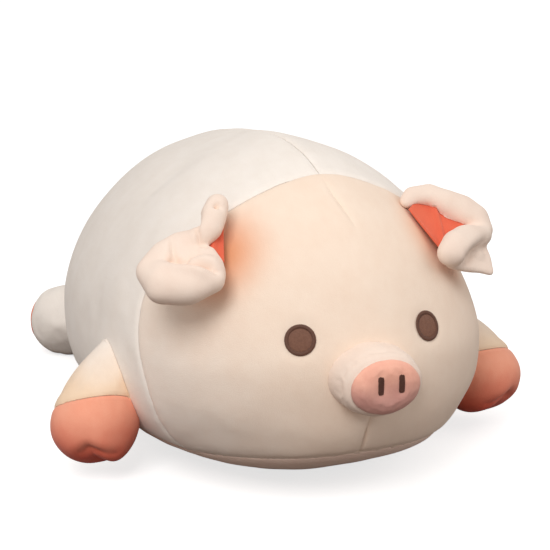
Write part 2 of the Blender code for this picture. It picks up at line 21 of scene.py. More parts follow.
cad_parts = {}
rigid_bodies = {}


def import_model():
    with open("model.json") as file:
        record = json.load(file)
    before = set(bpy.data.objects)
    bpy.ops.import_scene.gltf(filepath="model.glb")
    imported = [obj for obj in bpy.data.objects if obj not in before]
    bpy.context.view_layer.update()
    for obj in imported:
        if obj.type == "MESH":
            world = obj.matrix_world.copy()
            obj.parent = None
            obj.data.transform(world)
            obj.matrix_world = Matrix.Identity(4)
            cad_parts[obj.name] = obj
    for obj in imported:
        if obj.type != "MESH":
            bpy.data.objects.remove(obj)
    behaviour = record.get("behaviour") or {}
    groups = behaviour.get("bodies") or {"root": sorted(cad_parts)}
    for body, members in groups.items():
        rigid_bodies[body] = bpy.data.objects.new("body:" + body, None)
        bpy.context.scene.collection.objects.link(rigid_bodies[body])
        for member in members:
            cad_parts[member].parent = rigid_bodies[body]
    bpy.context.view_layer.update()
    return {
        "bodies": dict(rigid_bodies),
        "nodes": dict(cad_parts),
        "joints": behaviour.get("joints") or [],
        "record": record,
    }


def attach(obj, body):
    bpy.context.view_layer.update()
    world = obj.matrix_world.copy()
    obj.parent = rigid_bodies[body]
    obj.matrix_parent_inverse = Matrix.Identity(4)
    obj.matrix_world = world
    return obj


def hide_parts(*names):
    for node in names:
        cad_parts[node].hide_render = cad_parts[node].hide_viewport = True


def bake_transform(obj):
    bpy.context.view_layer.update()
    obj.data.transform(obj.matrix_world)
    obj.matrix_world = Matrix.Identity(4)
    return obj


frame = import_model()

LOG = logging.getLogger("plush_pig")

CLOTH_THICKNESS = 0.0018
SEAM_GAP = 0.00015
REST_GAP = 0.0003
FILLING_INSET = 0.0026
SNAP_DISTANCE = 0.00015
EYE_MIDDLE = (0.0521, -0.2392, 0.1435)
WHITE = (255, 255, 255)

Place = Callable[[Vector], Vector]
Point = tuple[float, float, float]
Quad = tuple[float, float, float, float]
Colour = Point


class Side(Enum):
    """The pig's own sides, with the sign that each has along X."""

    RIGHT = -1
    LEFT = 1

    @property
    def label(self) -> str:
        """The side's name as it stands in the names of the pieces."""
        return self.name.lower()


class Slot(Enum):
    """The record's material slots."""

    CREAM = "cream_plush"
    PEACH = "peach_plush"
    CORAL = "coral_plush"
    PINK = "pink_plush"
    BROWN = "brown_thread"
    FILLING = "fibre_filling"


# Small sums

def ease(share: float) -> float:
    """From 0 to 1 with a soft start and a soft end."""
    share = max(0.0, min(1.0, share))
    return share * share * (3 - 2 * share)


def signed_power(value: float, power: float) -> float:
    """A power that keeps the sign of its base."""
    return math.copysign(abs(value) ** power, value)


def groove(distance: float, depth: float, width: float) -> float:
    """How deep a stitched groove is at a distance from its line.

    Args:
        distance: Distance from the line, metres.
        depth: Depth on the line, metres.
        width: Distance at which the groove has run out, metres.

    Returns:
        The depth there, metres.
    """
    left = max(0.0, 1 - abs(distance) / width)
    return depth * left * left


def linear(colour: Colour) -> Quad:
    """A display colour from 0 to 255 as the linear colour that a shader takes."""
    parts = [part / 255 for part in colour]
    curve = [part / 12.92 if part <= 0.04045 else ((part + 0.055) / 1.055) ** 2.4 for part in parts]
    return curve[0], curve[1], curve[2], 1.0


# Meshes

def rounded_block(cuts: int) -> BMesh:
    """A unit ball without poles, made from a cube.

    Args:
        cuts: How many cuts each edge of the cube gets.

    Returns:
        The ball as a bmesh of four-sided faces.
    """
    bm = bmesh.new()
    bmesh.ops.create_cube(bm, size=2)
    bmesh.ops.subdivide_edges(bm, edges=bm.edges[:], cuts=cuts, use_grid_fill=True)
    for vert in bm.verts:
        vert.co = Vector([math.tan(part * math.pi / 4) for part in vert.co]).normalized()
    return bm


def face_outwards(bm: BMesh) -> None:
    """Turn every face outwards, judged by where the points are now."""
    bm.normal_update()
    bmesh.ops.recalc_face_normals(bm, faces=bm.faces[:])
    bm.normal_update()


def reshape(bm: BMesh, place: Place) -> None:
    """Move every point to place(point) and turn the faces outwards."""
    for vert in bm.verts:
        vert.co = place(vert.co.copy())
    face_outwards(bm)


def relax(bm: BMesh, rounds: int) -> None:
    """Even out the points over a few rounds."""
    for _ in range(rounds):
        bmesh.ops.smooth_vert(bm, verts=bm.verts[:], factor=0.5, use_axis_x=True, use_axis_y=True,
                              use_axis_z=True)
    bm.normal_update()


def new_piece(name: str, bm: BMesh) -> Object:
    """An object at the origin that holds the mesh; the bmesh is freed.

    Args:
        name: The piece's name.
        bm: Its mesh, in the part's frame.

    Returns:
        The new object.
    """
    mesh = bpy.data.meshes.new(name)
    bm.to_mesh(mesh)
    bm.free()
    mesh.shade_smooth()
    piece = bpy.data.objects.new(name, mesh)
    bpy.context.scene.collection.objects.link(piece)
    return piece


def mesh_of(piece: Object) -> BMesh:
    """The piece's mesh as a bmesh, with its modifiers; the object is removed."""
    graph = bpy.context.evaluated_depsgraph_get()
    bm = bmesh.new()
    bm.from_object(piece, graph)
    bpy.data.objects.remove(piece, do_unlink=True)
    bm.normal_update()
    return bm


def subdivided(bm: BMesh) -> BMesh:
    """One round of smooth subdivision; the old bmesh is freed."""
    piece = new_piece("subdivided", bm)
    rounder = piece.modifiers.new("Subdivision", 'SUBSURF')
    rounder.levels = rounder.render_levels = 1
    return mesh_of(piece)


def cut_along(bm: BMesh, axis: int, line: Callable[[Vector], float], offsets: list[float],
              within: Optional[Callable[[Vector], bool]] = None) -> None:
    """Lay rows of edges along a line on the cloth and on both sides of it.

    Args:
        bm: The cloth.
        axis: The axis across the line.
        line: Where the line stands on that axis, from the other coordinates of a point.
        offsets: Distances of the rows from the line, metres.
        within: Tells which points the rows may run through; all, if it is left out.
    """
    normal = Vector([1.0 if part == axis else 0.0 for part in range(3)])
    for vert in bm.verts:
        vert.co[axis] -= line(vert.co)
    for offset in offsets:
        faces = bm.faces[:]
        if within is not None:
            faces = [face for face in faces if within(face.calc_center_median())]
        edges = {edge for face in faces for edge in face.edges}
        verts = {vert for face in faces for vert in face.verts}
        bmesh.ops.bisect_plane(bm, geom=[*verts, *edges, *faces], dist=SNAP_DISTANCE,
                               plane_co=normal * offset, plane_no=normal)
    for vert in bm.verts:
        vert.co[axis] += line(vert.co)
    bm.normal_update()


def rows_beside(*distances: float) -> list[float]:
    """Offsets of rows on a line and on both sides of it, the farthest distance first."""
    return [-distance for distance in distances] + [0.0] + list(reversed(distances))


def sink(bm: BMesh, depth_at: Callable[[Vector], float]) -> None:
    """Press each point in along its normal by depth_at(point); a minus sign raises it."""
    bm.normal_update()
    moves = [vert.normal * depth_at(vert.co) for vert in bm.verts]
    for vert, move in zip(bm.verts, moves):
        vert.co -= move
    bm.normal_update()


def kept_part(bm: BMesh, keep: Callable[[Vector], bool], gap: float = SEAM_GAP) -> BMesh:
    """A copy of the faces whose middle passes the test, drawn back a little from its new edge.

    Args:
        bm: The whole cloth.
        keep: The test on a face's middle.
        gap: How far the edge draws back, metres.

    Returns:
        The part as a new bmesh.
    """
    part = bm.copy()
    others = [face for face in part.faces if not keep(face.calc_center_median())]
    bmesh.ops.delete(part, geom=others, context='FACES')
    part.normal_update()
    moves = []
    for vert in part.verts:
        if vert.is_boundary:
            around = [face.calc_center_median() for face in vert.link_faces]
            middle = sum(around, Vector()) / len(around)
            moves.append((vert, (middle - vert.co).normalized() * gap))
    for vert, move in moves:
        vert.co += move
    return part


def thicken(piece: Object, thickness: float) -> None:
    """Give an open cloth its thickness, inwards from its face."""
    wall = piece.modifiers.new("Cloth thickness", 'SOLIDIFY')
    wall.thickness = thickness
    wall.offset = -1.0
    wall.use_rim = True


@dataclass(frozen=True)
class Crease:
    """A line along which the cloth is drawn in or folded."""

    points: tuple[Point, ...]
    depth: float
    width: float
    lip: float = 0.0

    def across_at(self, point: Vector, axis: int) -> float:
        """Where the crease stands in x beside a point, for a crease that runs down the axis given.

        Args:
            point: A point of the cloth.
            axis: The axis that the crease runs along, from its first point downwards.

        Returns:
            The crease's x there, metres.
        """
        places = [(place[axis], place[0]) for place in self.points]
        for (high, x_high), (low, x_low) in zip(places, places[1:]):
            if point[axis] >= low:
                share = max(0.0, min(1.0, (high - point[axis]) / (high - low)))
                return x_high + (x_low - x_high) * share
        return places[-1][1]

    def depth_at(self, point: Vector) -> float:
        """How far the crease draws a point in; it fades towards both of its ends.

        Args:
            point: A point of the cloth.

        Returns:
            The depth, metres; a lip beside the crease counts as minus.
        """
        reach = self.width * 3
        nearest, share = reach, 0.0
        count = len(self.points) - 1
        for step in range(count):
            start, end = Vector(self.points[step]), Vector(self.points[step + 1])
            run = end - start
            part = max(0.0, min(1.0, (point - start).dot(run) / run.length_squared))
            distance = (point - start - run * part).length
            if distance < nearest:
                nearest, share = distance, (step + part) / count
        if nearest >= reach:
            return 0.0
        fade = math.sin(math.pi * max(0.06, min(0.94, share))) ** 0.6
        lip = self.lip * math.exp(-((nearest - self.width * 1.3) / (self.width * 0.7)) ** 2)
        return fade * (groove(nearest, self.depth, self.width) - lip)


@dataclass(frozen=True)
class Swelling:
    """How a sewn form's cloth settles under the pressure of its filling."""

    pressure: float = 4.0
    spare_cloth: float = 0.02
    stiffness: float = 18.0
    bending: float = 1.2
    limit: float = 0.004
    quality: int = 6
    steps: int = 20

    def settle(self, bm: BMesh, held: Callable[[Vector], float]) -> BMesh:
        """Let a closed form settle, held along its seams.

        The pattern is taken as cut smaller by what the filling adds on the whole, so that the form
        keeps its size and gains only its crowns and soft waves.

        Args:
            bm: The closed form; it is freed.
            held: How firmly a point is held, from 0 to 1.

        Returns:
            The settled form.
        """
        piece = new_piece("settling", bm)
        verts = piece.data.vertices
        starts = [vert.co.copy() for vert in verts]
        normals = [vert.normal.copy() for vert in verts]
        holds = [held(start) for start in starts]
        group = piece.vertex_groups.new(name="seams")
        for index, hold in enumerate(holds):
            group.add([index], hold, 'REPLACE')
        cloth = piece.modifiers.new("Cloth", 'CLOTH')
        settings = cloth.settings
        settings.quality = self.quality
        settings.tension_stiffness = settings.compression_stiffness = self.stiffness
        settings.shear_stiffness = self.stiffness
        settings.bending_stiffness = self.bending
        settings.use_pressure = True
        settings.uniform_pressure_force = self.pressure
        settings.shrink_min = -self.spare_cloth
        settings.vertex_group_mass = group.name
        settings.effector_weights.gravity = 0.0
        cloth.collision_settings.use_collision = False
        scene = bpy.context.scene
        for step in range(1, self.steps + 1):
            scene.frame_set(step)
        settled = piece.evaluated_get(bpy.context.evaluated_depsgraph_get())
        moves = [vert.co - start for vert, start in zip(settled.data.vertices, starts)]
        piece.modifiers.remove(cloth)
        scene.frame_set(1)
        free = sum(1 - hold for hold in holds)
        rises = (move.dot(normal) * (1 - hold) for move, normal, hold in zip(moves, normals, holds))
        rise = sum(rises) / free
        for vert, start, move, normal, hold in zip(verts, starts, moves, normals, holds):
            move = move - normal * (rise * (1 - hold))
            if move.length > self.limit:
                move = move * (self.limit / move.length)
            vert.co = start + move
        return mesh_of(piece)


# Finishes

def add_node(tree: NodeTree, kind: str, **settings: object) -> Node:
    """A node with its settings made.

    Args:
        tree: The node tree.
        kind: The node's type.
        **settings: Its plain settings by name.

    Returns:
        The node.
    """
    node = tree.nodes.new(kind)
    for name, value in settings.items():
        setattr(node, name, value)
    return node


def sum_of(tree: NodeTree, operation: str, first: object, second: object) -> NodeSocket:
    """A Math node on two values or sockets.

    Args:
        tree: The node tree.
        operation: The Math node's operation.
        first: A number or an output socket.
        second: A number or an output socket.

    Returns:
        The node's output.
    """
    node = add_node(tree, 'ShaderNodeMath', operation=operation)
    for socket, value in zip(node.inputs, (first, second)):
        if isinstance(value, NodeSocket):
            tree.links.new(value, socket)
        else:
            socket.default_value = value
    return node.outputs[0]


def new_group(name: str, inputs: dict[str, str], outputs: dict[str, str]) -> NodeTree:
    """A node group with named sockets.

    Args:
        name: The group's name.
        inputs: Socket types by input name.
        outputs: Socket types by output name.

    Returns:
        The group.
    """
    group = bpy.data.node_groups.new(name, 'ShaderNodeTree')
    for direction, sockets in (('INPUT', inputs), ('OUTPUT', outputs)):
        for label, kind in sockets.items():
            group.interface.new_socket(name=label, in_out=direction, socket_type=kind)
    return group


def noise_at(tree: NodeTree, place: NodeSocket, size: object, detail: float,
             roughness: float = 0.5) -> NodeSocket:
    """Noise whose features are about as wide as the size given.

    Args:
        tree: The node tree.
        place: The socket with the coordinates.
        size: Width of a feature in metres, a number or a socket.
        detail: Levels of finer noise.
        roughness: Strength of the finer levels.

    Returns:
        The noise, from 0 to 1.
    """
    node = add_node(tree, 'ShaderNodeTexNoise')
    node.inputs['Detail'].default_value = detail
    node.inputs['Roughness'].default_value = roughness
    tree.links.new(place, node.inputs['Vector'])
    tree.links.new(sum_of(tree, 'DIVIDE', 1.0, size), node.inputs['Scale'])
    return node.outputs['Fac']


def share_along(tree: NodeTree, place: NodeSocket, entry: Node,
                cloudy: NodeSocket) -> NodeSocket:
    """How far a point lies along the far direction, from 0 at its start to 1 at its end.

    Args:
        tree: The node tree.
        place: The socket with the coordinates.
        entry: The group's inputs.
        cloudy: A small uneven shift of the place, metres.

    Returns:
        The share, from 0 to 1.
    """
    along = add_node(tree, 'ShaderNodeVectorMath', operation='DOT_PRODUCT')
    tree.links.new(place, along.inputs[0])
    tree.links.new(entry.outputs["Far Direction"], along.inputs[1])
    share = add_node(tree, 'ShaderNodeMapRange', interpolation_type='SMOOTHSTEP')
    tree.links.new(sum_of(tree, 'ADD', along.outputs['Value'], cloudy), share.inputs['Value'])
    tree.links.new(entry.outputs["Far Start"], share.inputs['From Min'])
    tree.links.new(entry.outputs["Far End"], share.inputs['From Max'])
    return share.outputs[0]


def painted_bounce_share(tree: NodeTree, place: NodeSocket, entry: Node) -> NodeSocket:
    """How strong the painted bounce light and shade beside the ears is at a point: full at its two
    mirrored places, gone at its width.

    Args:
        tree: The node tree.
        place: The socket with the coordinates.
        entry: The group's inputs.

    Returns:
        The strength, from 0 to 1.
    """
    parts = add_node(tree, 'ShaderNodeSeparateXYZ')
    tree.links.new(place, parts.inputs[0])
    mirrored = add_node(tree, 'ShaderNodeCombineXYZ')
    side = sum_of(tree, 'SIGN', parts.outputs[0], 0.0)
    tree.links.new(sum_of(tree, 'MULTIPLY', parts.outputs[0], side), mirrored.inputs[0])
    tree.links.new(parts.outputs[1], mirrored.inputs[1])
    tree.links.new(parts.outputs[2], mirrored.inputs[2])
    apart = add_node(tree, 'ShaderNodeVectorMath', operation='DISTANCE')
    tree.links.new(mirrored.outputs[0], apart.inputs[0])
    tree.links.new(entry.outputs["Blush Place"], apart.inputs[1])
    share = add_node(tree, 'ShaderNodeMapRange', interpolation_type='SMOOTHSTEP')
    tree.links.new(apart.outputs['Value'], share.inputs['Value'])
    tree.links.new(entry.outputs["Blush Width"], share.inputs['From Max'])
    share.inputs['To Min'].default_value = 1.0
    share.inputs['To Max'].default_value = 0.0
    return sum_of(tree, 'MULTIPLY', share.outputs[0], entry.outputs["Blush Strength"])


def input_group(name: str, colours: tuple[str, ...], numbers: tuple[str, ...],
                vectors: tuple[str, ...] = ()) -> NodeTree:
    """A group that turns a place, colours and numbers into colour, roughness and relief.

    Args:
        name: The group's name.
        colours: Names of its colour inputs.
        numbers: Names of its number inputs.
        vectors: Names of its vector inputs besides the place.

    Returns:
        The group.
    """
    inputs = {label: 'NodeSocketVector' for label in ("Vector", *vectors)}
    inputs.update({label: 'NodeSocketColor' for label in colours})
    inputs.update({label: 'NodeSocketFloat' for label in numbers})
    return new_group(name, inputs, {"Colour": 'NodeSocketColor', "Roughness": 'NodeSocketFloat',
                                    "Height": 'NodeSocketFloat'})


def mixed(tree: NodeTree, share: NodeSocket, first: NodeSocket, second: NodeSocket,
          **settings: object) -> NodeSocket:
    """A colour mix.

    Args:
        tree: The node tree.
        share: The share of the second colour.
        first: The first colour.
        second: The second colour.
        **settings: The mix node's settings by name.

    Returns:
        The mixed colour.
    """
    mix = add_node(tree, 'ShaderNodeMix', data_type='RGBA', **settings)
    tree.links.new(share, mix.inputs[0])
    tree.links.new(first, mix.inputs[6])
    tree.links.new(second, mix.inputs[7])
    return mix.outputs[2]


def pile_group() -> NodeTree:
    """Short brushed pile: fine fibre ends with painted shade between them, blotches of nap lying
    another way, faint stroke marks, a tint along a direction and painted bounce light and shade
    round two places.

    Returns:
        The group, made once.
    """
    known = bpy.data.node_groups.get("brushed pile")
    if known is not None:
        return known
    group = input_group("brushed pile", ("Colour", "Shaded Colour", "Far Colour", "Blush Colour"),
                        ("Fibre Width", "Blotch Width", "Blotch Strength", "Fibre Strength",
                         "Far Start", "Far End", "Blush Width", "Blush Strength"),
                        ("Far Direction", "Blush Place"))
    entry, leave = add_node(group, 'NodeGroupInput'), add_node(group, 'NodeGroupOutput')
    total, product = partial(sum_of, group, 'ADD'), partial(sum_of, group, 'MULTIPLY')
    rest = partial(sum_of, group, 'SUBTRACT')
    given, place = entry.outputs, entry.outputs["Vector"]
    fibre = noise_at(group, place, given["Fibre Width"], 3.0, 0.62)
    blotch = noise_at(group, place, given["Blotch Width"], 2.0, 0.55)
    stroke_place = add_node(group, 'ShaderNodeMapping')
    stroke_place.inputs['Scale'].default_value = (1.0, 0.32, 0.75)
    stroke_place.inputs['Rotation'].default_value = (0.3, 0.2, 0.5)
    group.links.new(place, stroke_place.inputs['Vector'])
    stroke_width = product(given["Blotch Width"], 0.22)
    stroke = noise_at(group, stroke_place.outputs[0], stroke_width, 2.0, 0.5)
    spread = add_node(group, 'ShaderNodeMapRange')
    spread.inputs['From Min'].default_value = 0.32
    spread.inputs['From Max'].default_value = 0.68
    group.links.new(total(product(blotch, 0.65), product(stroke, 0.35)), spread.inputs['Value'])
    blotched = product(spread.outputs[0], given["Blotch Strength"])
    # Darker where the fibre relief is low: random tone of the fibre ends and painted shade between
    # them.
    ends = product(rest(1.0, fibre), given["Fibre Strength"])
    pile = mixed(group, total(blotched, ends), given["Colour"], given["Shaded Colour"],
                 clamp_factor=True)
    cloudy = product(rest(blotch, 0.5), 0.012)
    # Factor along a direction: painted shade low on the hoofs and the snout front, a gradient of the
    # cloth's own colour on the face and the front sleeves.
    far = mixed(group, share_along(group, place, entry, cloudy), pile, given["Far Colour"],
                blend_type='MULTIPLY')
    # Painted warm bounce light and painted shade round the ears' roots, mirrored left and right.
    painted_bounce_shade = mixed(group, painted_bounce_share(group, place, entry), far, given["Blush Colour"],
                  blend_type='MULTIPLY')
    group.links.new(painted_bounce_shade, leave.inputs["Colour"])
    group.links.new(total(0.82, product(fibre, 0.16)), leave.inputs["Roughness"])
    group.links.new(total(fibre, product(stroke, 0.8)), leave.inputs["Height"])
    return group


def thread_group() -> NodeTree:
    """Twisted embroidery thread: fine plies along a strand and strands of slightly different shade.

    Returns:
        The group, made once.
    """
    known = bpy.data.node_groups.get("twisted thread")
    if known is not None:
        return known
    group = input_group("twisted thread", ("Colour", "Shaded Colour"), ("Thread Width",))
    entry, leave = add_node(group, 'NodeGroupInput'), add_node(group, 'NodeGroupOutput')
    total, product = partial(sum_of, group, 'ADD'), partial(sum_of, group, 'MULTIPLY')
    given, place = entry.outputs, entry.outputs["Vector"]
    ply = noise_at(group, place, product(given["Thread Width"], 0.6), 2.0)
    strand = noise_at(group, place, product(given["Thread Width"], 4.0), 1.0)
    shade = total(product(ply, 0.5), product(strand, 0.6))
    thread = mixed(group, shade, given["Colour"], given["Shaded Colour"], clamp_factor=True)
    group.links.new(thread, leave.inputs["Colour"])
    group.links.new(total(0.42, product(ply, 0.25)), leave.inputs["Roughness"])
    group.links.new(ply, leave.inputs["Height"])
    return group


def dressed_material(name: str, group: NodeTree, values: dict[str, object], depth: float,
                     shader_values: dict[str, object]) -> Material:
    """A material whose colour, roughness and relief come from one node group.

    Args:
        name: The material's name.
        group: The node group.
        values: The group's input values by name.
        depth: How deep the relief is, metres.
        shader_values: Plain values on the shader's own sockets.

    Returns:
        The material.
    """
    material = bpy.data.materials.new(name)
    material.use_nodes = True
    tree = material.node_tree
    shader = tree.nodes["Principled BSDF"]
    for label, value in shader_values.items():
        shader.inputs[label].default_value = value
    coordinates = add_node(tree, 'ShaderNodeTexCoord')
    dressing = add_node(tree, 'ShaderNodeGroup', node_tree=group)
    for label, value in values.items():
        dressing.inputs[label].default_value = value
    tree.links.new(coordinates.outputs['Object'], dressing.inputs["Vector"])
    tree.links.new(dressing.outputs["Colour"], shader.inputs['Base Color'])
    tree.links.new(dressing.outputs["Roughness"], shader.inputs['Roughness'])
    bump = add_node(tree, 'ShaderNodeBump')
    bump.inputs['Distance'].default_value = depth
    tree.links.new(dressing.outputs["Height"], bump.inputs['Height'])
    tree.links.new(bump.outputs['Normal'], shader.inputs['Normal'])
    return material


@dataclass(frozen=True)
class Tint:
    """A factor on the cloth's colour that comes in along a direction; on the hoofs and the snout
    front it is painted shade towards the bottom.
    """

    colour: Colour = WHITE
    direction: Point = (0.0, 0.0, -1.0)
    start: float = 0.0
    end: float = 1.0


@dataclass(frozen=True)
class PaintedBounceShade:
    """Painted bounce light and painted shade around two places, mirrored left and right, as a factor
    on the cloth's colour.
    """

    colour: Colour = WHITE
    place: Point = (0.0, 0.0, 0.0)
    width: float = 0.02
    strength: float = 0.0


@dataclass(frozen=True)
class PlushFinish:
    """Short-pile velour in one colour, with the shade it has where the nap lies away."""

    name: str
    slot: Slot
    colour: Colour
    shaded: Colour
    blotch_width: float = 0.030
    blotch_strength: float = 0.30
    fibre_width: float = 0.0009
    fibre_strength: float = 0.34
    fibre_depth: float = 0.00022
    sheen: float = 0.22
    tint: Tint = Tint()
    painted_bounce_shade: PaintedBounceShade = PaintedBounceShade()

    def material(self) -> Material:
        """The velour's material."""
        return dressed_material(self.name, pile_group(), {
            "Colour": linear(self.colour), "Shaded Colour": linear(self.shaded),
            "Fibre Width": self.fibre_width, "Blotch Width": self.blotch_width,
            "Blotch Strength": self.blotch_strength, "Fibre Strength": self.fibre_strength,
            "Far Colour": linear(self.tint.colour), "Far Direction": self.tint.direction,
            "Far Start": self.tint.start, "Far End": self.tint.end,
            "Blush Colour": linear(self.painted_bounce_shade.colour), "Blush Place": self.painted_bounce_shade.place,
            "Blush Width": self.painted_bounce_shade.width, "Blush Strength": self.painted_bounce_shade.strength,
        }, self.fibre_depth, {
            'Sheen Weight': self.sheen, 'Sheen Roughness': 0.45,
            'Sheen Tint': (1.0, 0.96, 0.92, 1.0), 'Specular IOR Level': 0.15,
        })


@dataclass(frozen=True)
class ThreadFinish:
    """Satin-stitched embroidery thread with a soft gloss."""

    name: str
    slot: Slot
    colour: Colour
    shaded: Colour
    thread_width: float = 0.0004
    depth: float = 0.00008

    def material(self) -> Material:
        """The thread's material."""
        return dressed_material(self.name, thread_group(), {
            "Colour": linear(self.colour), "Shaded Colour": linear(self.shaded),
            "Thread Width": self.thread_width,
        }, self.depth, {'Sheen Weight': 0.15, 'Sheen Roughness': 0.35, 'Specular IOR Level': 0.4})


@dataclass(frozen=True)
class FillingFinish:
    """Loose white polyester fibre."""

    name: str = "white fibre"
    slot: Slot = Slot.FILLING

    def material(self) -> Material:
        """The fibre's material."""
        return dressed_material(self.name, pile_group(), {
            "Colour": linear((246, 246, 244)), "Shaded Colour": linear((205, 205, 204)),
            "Fibre Width": 0.0022, "Blotch Width": 0.018, "Blotch Strength": 0.5,
            "Fibre Strength": 0.6, "Far Colour": linear(WHITE), "Far End": 1.0,
            "Blush Colour": linear(WHITE),
        }, 0.0011, {'Sheen Weight': 0.3, 'Sheen Roughness': 0.6, 'Specular IOR Level': 0.1})


CREAM = PlushFinish("cream velour", Slot.CREAM, (252, 244, 236), (235, 222, 209))
# A pinker, darker cream than the back panels, which is painted shade of the underside.
BELLY_CREAM_PAINTED_SHADE = PlushFinish("belly velour", Slot.CREAM, (250, 226, 210), (234, 198, 180))
# Beside the ears' roots the face carries painted orange bounce light from the coral linings and
# painted shade under the ears.
FACE_PEACH = PlushFinish("peach velour", Slot.PEACH, (251, 240, 229), (240, 219, 203),
                         tint=Tint((255, 246, 237), (0.85, 0.0, 0.5), -0.10, 0.02),
                         painted_bounce_shade=PaintedBounceShade((240, 178, 134), (0.0880, -0.170, 0.194), 0.052, 0.90))
LEG_CREAM = PlushFinish("leg velour", Slot.CREAM, (252, 241, 230), (238, 220, 205),
                        tint=Tint((255, 236, 213), (0.0, 0.0, -1.0), -0.108, -0.070))
EAR_CREAM = PlushFinish("ear velour", Slot.CREAM, (247, 229, 214), (236, 206, 188))
# Darker and redder towards the bottom of the hoof: painted shade.
HOOF_CORAL = PlushFinish("coral velour", Slot.CORAL, (255, 184, 154), (244, 142, 112),
                         tint=Tint((228, 122, 106), (0.0, 0.0, -1.0), -0.070, -0.010))
# The same coral cloth as the hoofs, painted deeper and redder: painted shade and coral bounce light
# inside the ear's fold.
LINING_CORAL_PAINTED_SHADE = PlushFinish("ear lining velour", Slot.CORAL, (236, 118, 88), (214, 84, 60))
# Darker and bluer towards the bottom of the snout front: painted shade.
SNOUT_PINK = PlushFinish("pink velour", Slot.PINK, (255, 196, 172), (236, 156, 136),
                         blotch_width=0.012,
                         tint=Tint((216, 216, 228), (0.0, 0.0, -1.0), -0.126, -0.102))
BROWN = ThreadFinish("brown embroidery", Slot.BROWN, (152, 108, 86), (104, 66, 50))
DARK_BROWN = ThreadFinish("dark brown embroidery", Slot.BROWN, (122, 82, 62), (78, 46, 36))
NOSTRIL_BROWN = ThreadFinish("nostril embroidery", Slot.BROWN, (104, 60, 44), (66, 36, 28))
FILLING = FillingFinish()

Finish = PlushFinish | ThreadFinish | FillingFinish
_materials: dict[str, Material] = {}


def dress(piece: Object, finish: Finish) -> Object:
    """Give the piece its finish's material.

    Args:
        piece: The piece.
        finish: Its finish.

    Returns:
        The piece.
    """
    if finish.name not in _materials:
        _materials[finish.name] = finish.material()
    piece.data.materials.clear()
    piece.data.materials.append(_materials[finish.name])
    return piece


def settle_in(piece: Object, finish: Finish, body: str, node: str, fill: Optional[float],
              bend: Optional[tuple[Vector, Vector]] = None) -> None:
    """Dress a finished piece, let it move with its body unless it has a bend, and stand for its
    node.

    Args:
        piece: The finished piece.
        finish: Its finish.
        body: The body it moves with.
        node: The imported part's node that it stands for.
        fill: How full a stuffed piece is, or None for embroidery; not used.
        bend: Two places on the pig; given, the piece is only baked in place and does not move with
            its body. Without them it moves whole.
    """
    dress(piece, finish)
    if bend is None:
        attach(piece, body)
    else:
        start, end = bend
        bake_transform(piece)
        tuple(start)
        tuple(end)
    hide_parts(node)
    LOG.info("%s: %d faces, %s %s", piece.name, len(piece.data.polygons),
             "rides on" if bend is None else "bends between body and", body)


# Body

@dataclass(frozen=True)
class BodyForm:
    """The body's outer form, measured from its widest section."""

    half_width: float = 0.158
    front_length: float = 0.215
    back_length: float = 0.292
    crown_height: float = 0.168
    widest_height: float = 0.089
    widest_y: float = -0.03935
    crown_lean: float = 0.040
    nose_lift: float = 0.035
    rest_cut: float = 0.0005
    front_power: float = 2.3
    back_power: float = 2.65
    crown_power: float = 1.75
    belly_power: float = 2.75
    face_seam_back: float = 0.108
    face_seam_bulge: float = 0.031
    face_seam_bulge_height: float = 0.160
    face_seam_bulge_reach: float = 0.090
    belly_seam_height: float = 0.031
    belly_seam_rise: float = 0.018

    def surface(self, along: float, across: float, up: float) -> Vector:
        """A point of the form.

        Args:
            along: From -1 at the nose to 1 at the tail.
            across: Sideways part of a unit direction across the body.
            up: Upward part of that direction.

        Returns:
            The point.
        """
        power, length = ((self.front_power, self.front_length) if along < 0 else
                         (self.back_power, self.back_length))
        girth = max(1 - abs(along) ** power, 0) ** (1 / power)
        section = self.crown_power if up > 0 else self.belly_power
        x = self.half_width * girth * signed_power(across, 2 / section)
        y = self.widest_y + length * along + self.crown_lean * max(up, 0) * girth
        middle = self.widest_height - self.nose_lift * along
        swell = girth * abs(up) ** (2 / section)
        if up > 0:
            z = middle + self.crown_height * swell
        elif along > 0:
            z = middle * (1 - swell)
        else:
            z = self.widest_height * (1 - swell) - self.nose_lift * along * (1 - abs(up))
        return Vector((x, y, z - self.rest_cut))

    def from_ball(self, point: Vector) -> Vector:
        """Where a point of a unit ball, poles on Z, lies on the form."""
        spread = max(math.hypot(point.x, point.y), 1e-9)
        return self.surface(-point.z, point.x / spread, point.y / spread)

    def face_seam_y(self, point: Vector) -> float:
        """Where the seam round the face stands at the point's height."""
        reach = (point.z - self.face_seam_bulge_height) / self.face_seam_bulge_reach
        bulge = 0.5 + 0.5 * math.cos(math.pi * max(-1, min(1, reach)))
        return self.widest_y - self.face_seam_back + self.face_seam_bulge * bulge

    def belly_seam_z(self, point: Vector) -> float:
        """How high the seam round the belly stands at the point's length along the body."""
        reach = self.front_length - self.face_seam_back
        ahead = (self.widest_y - self.face_seam_back - point.y) / reach
        return self.belly_seam_height + self.belly_seam_rise * max(0, min(1, ahead))


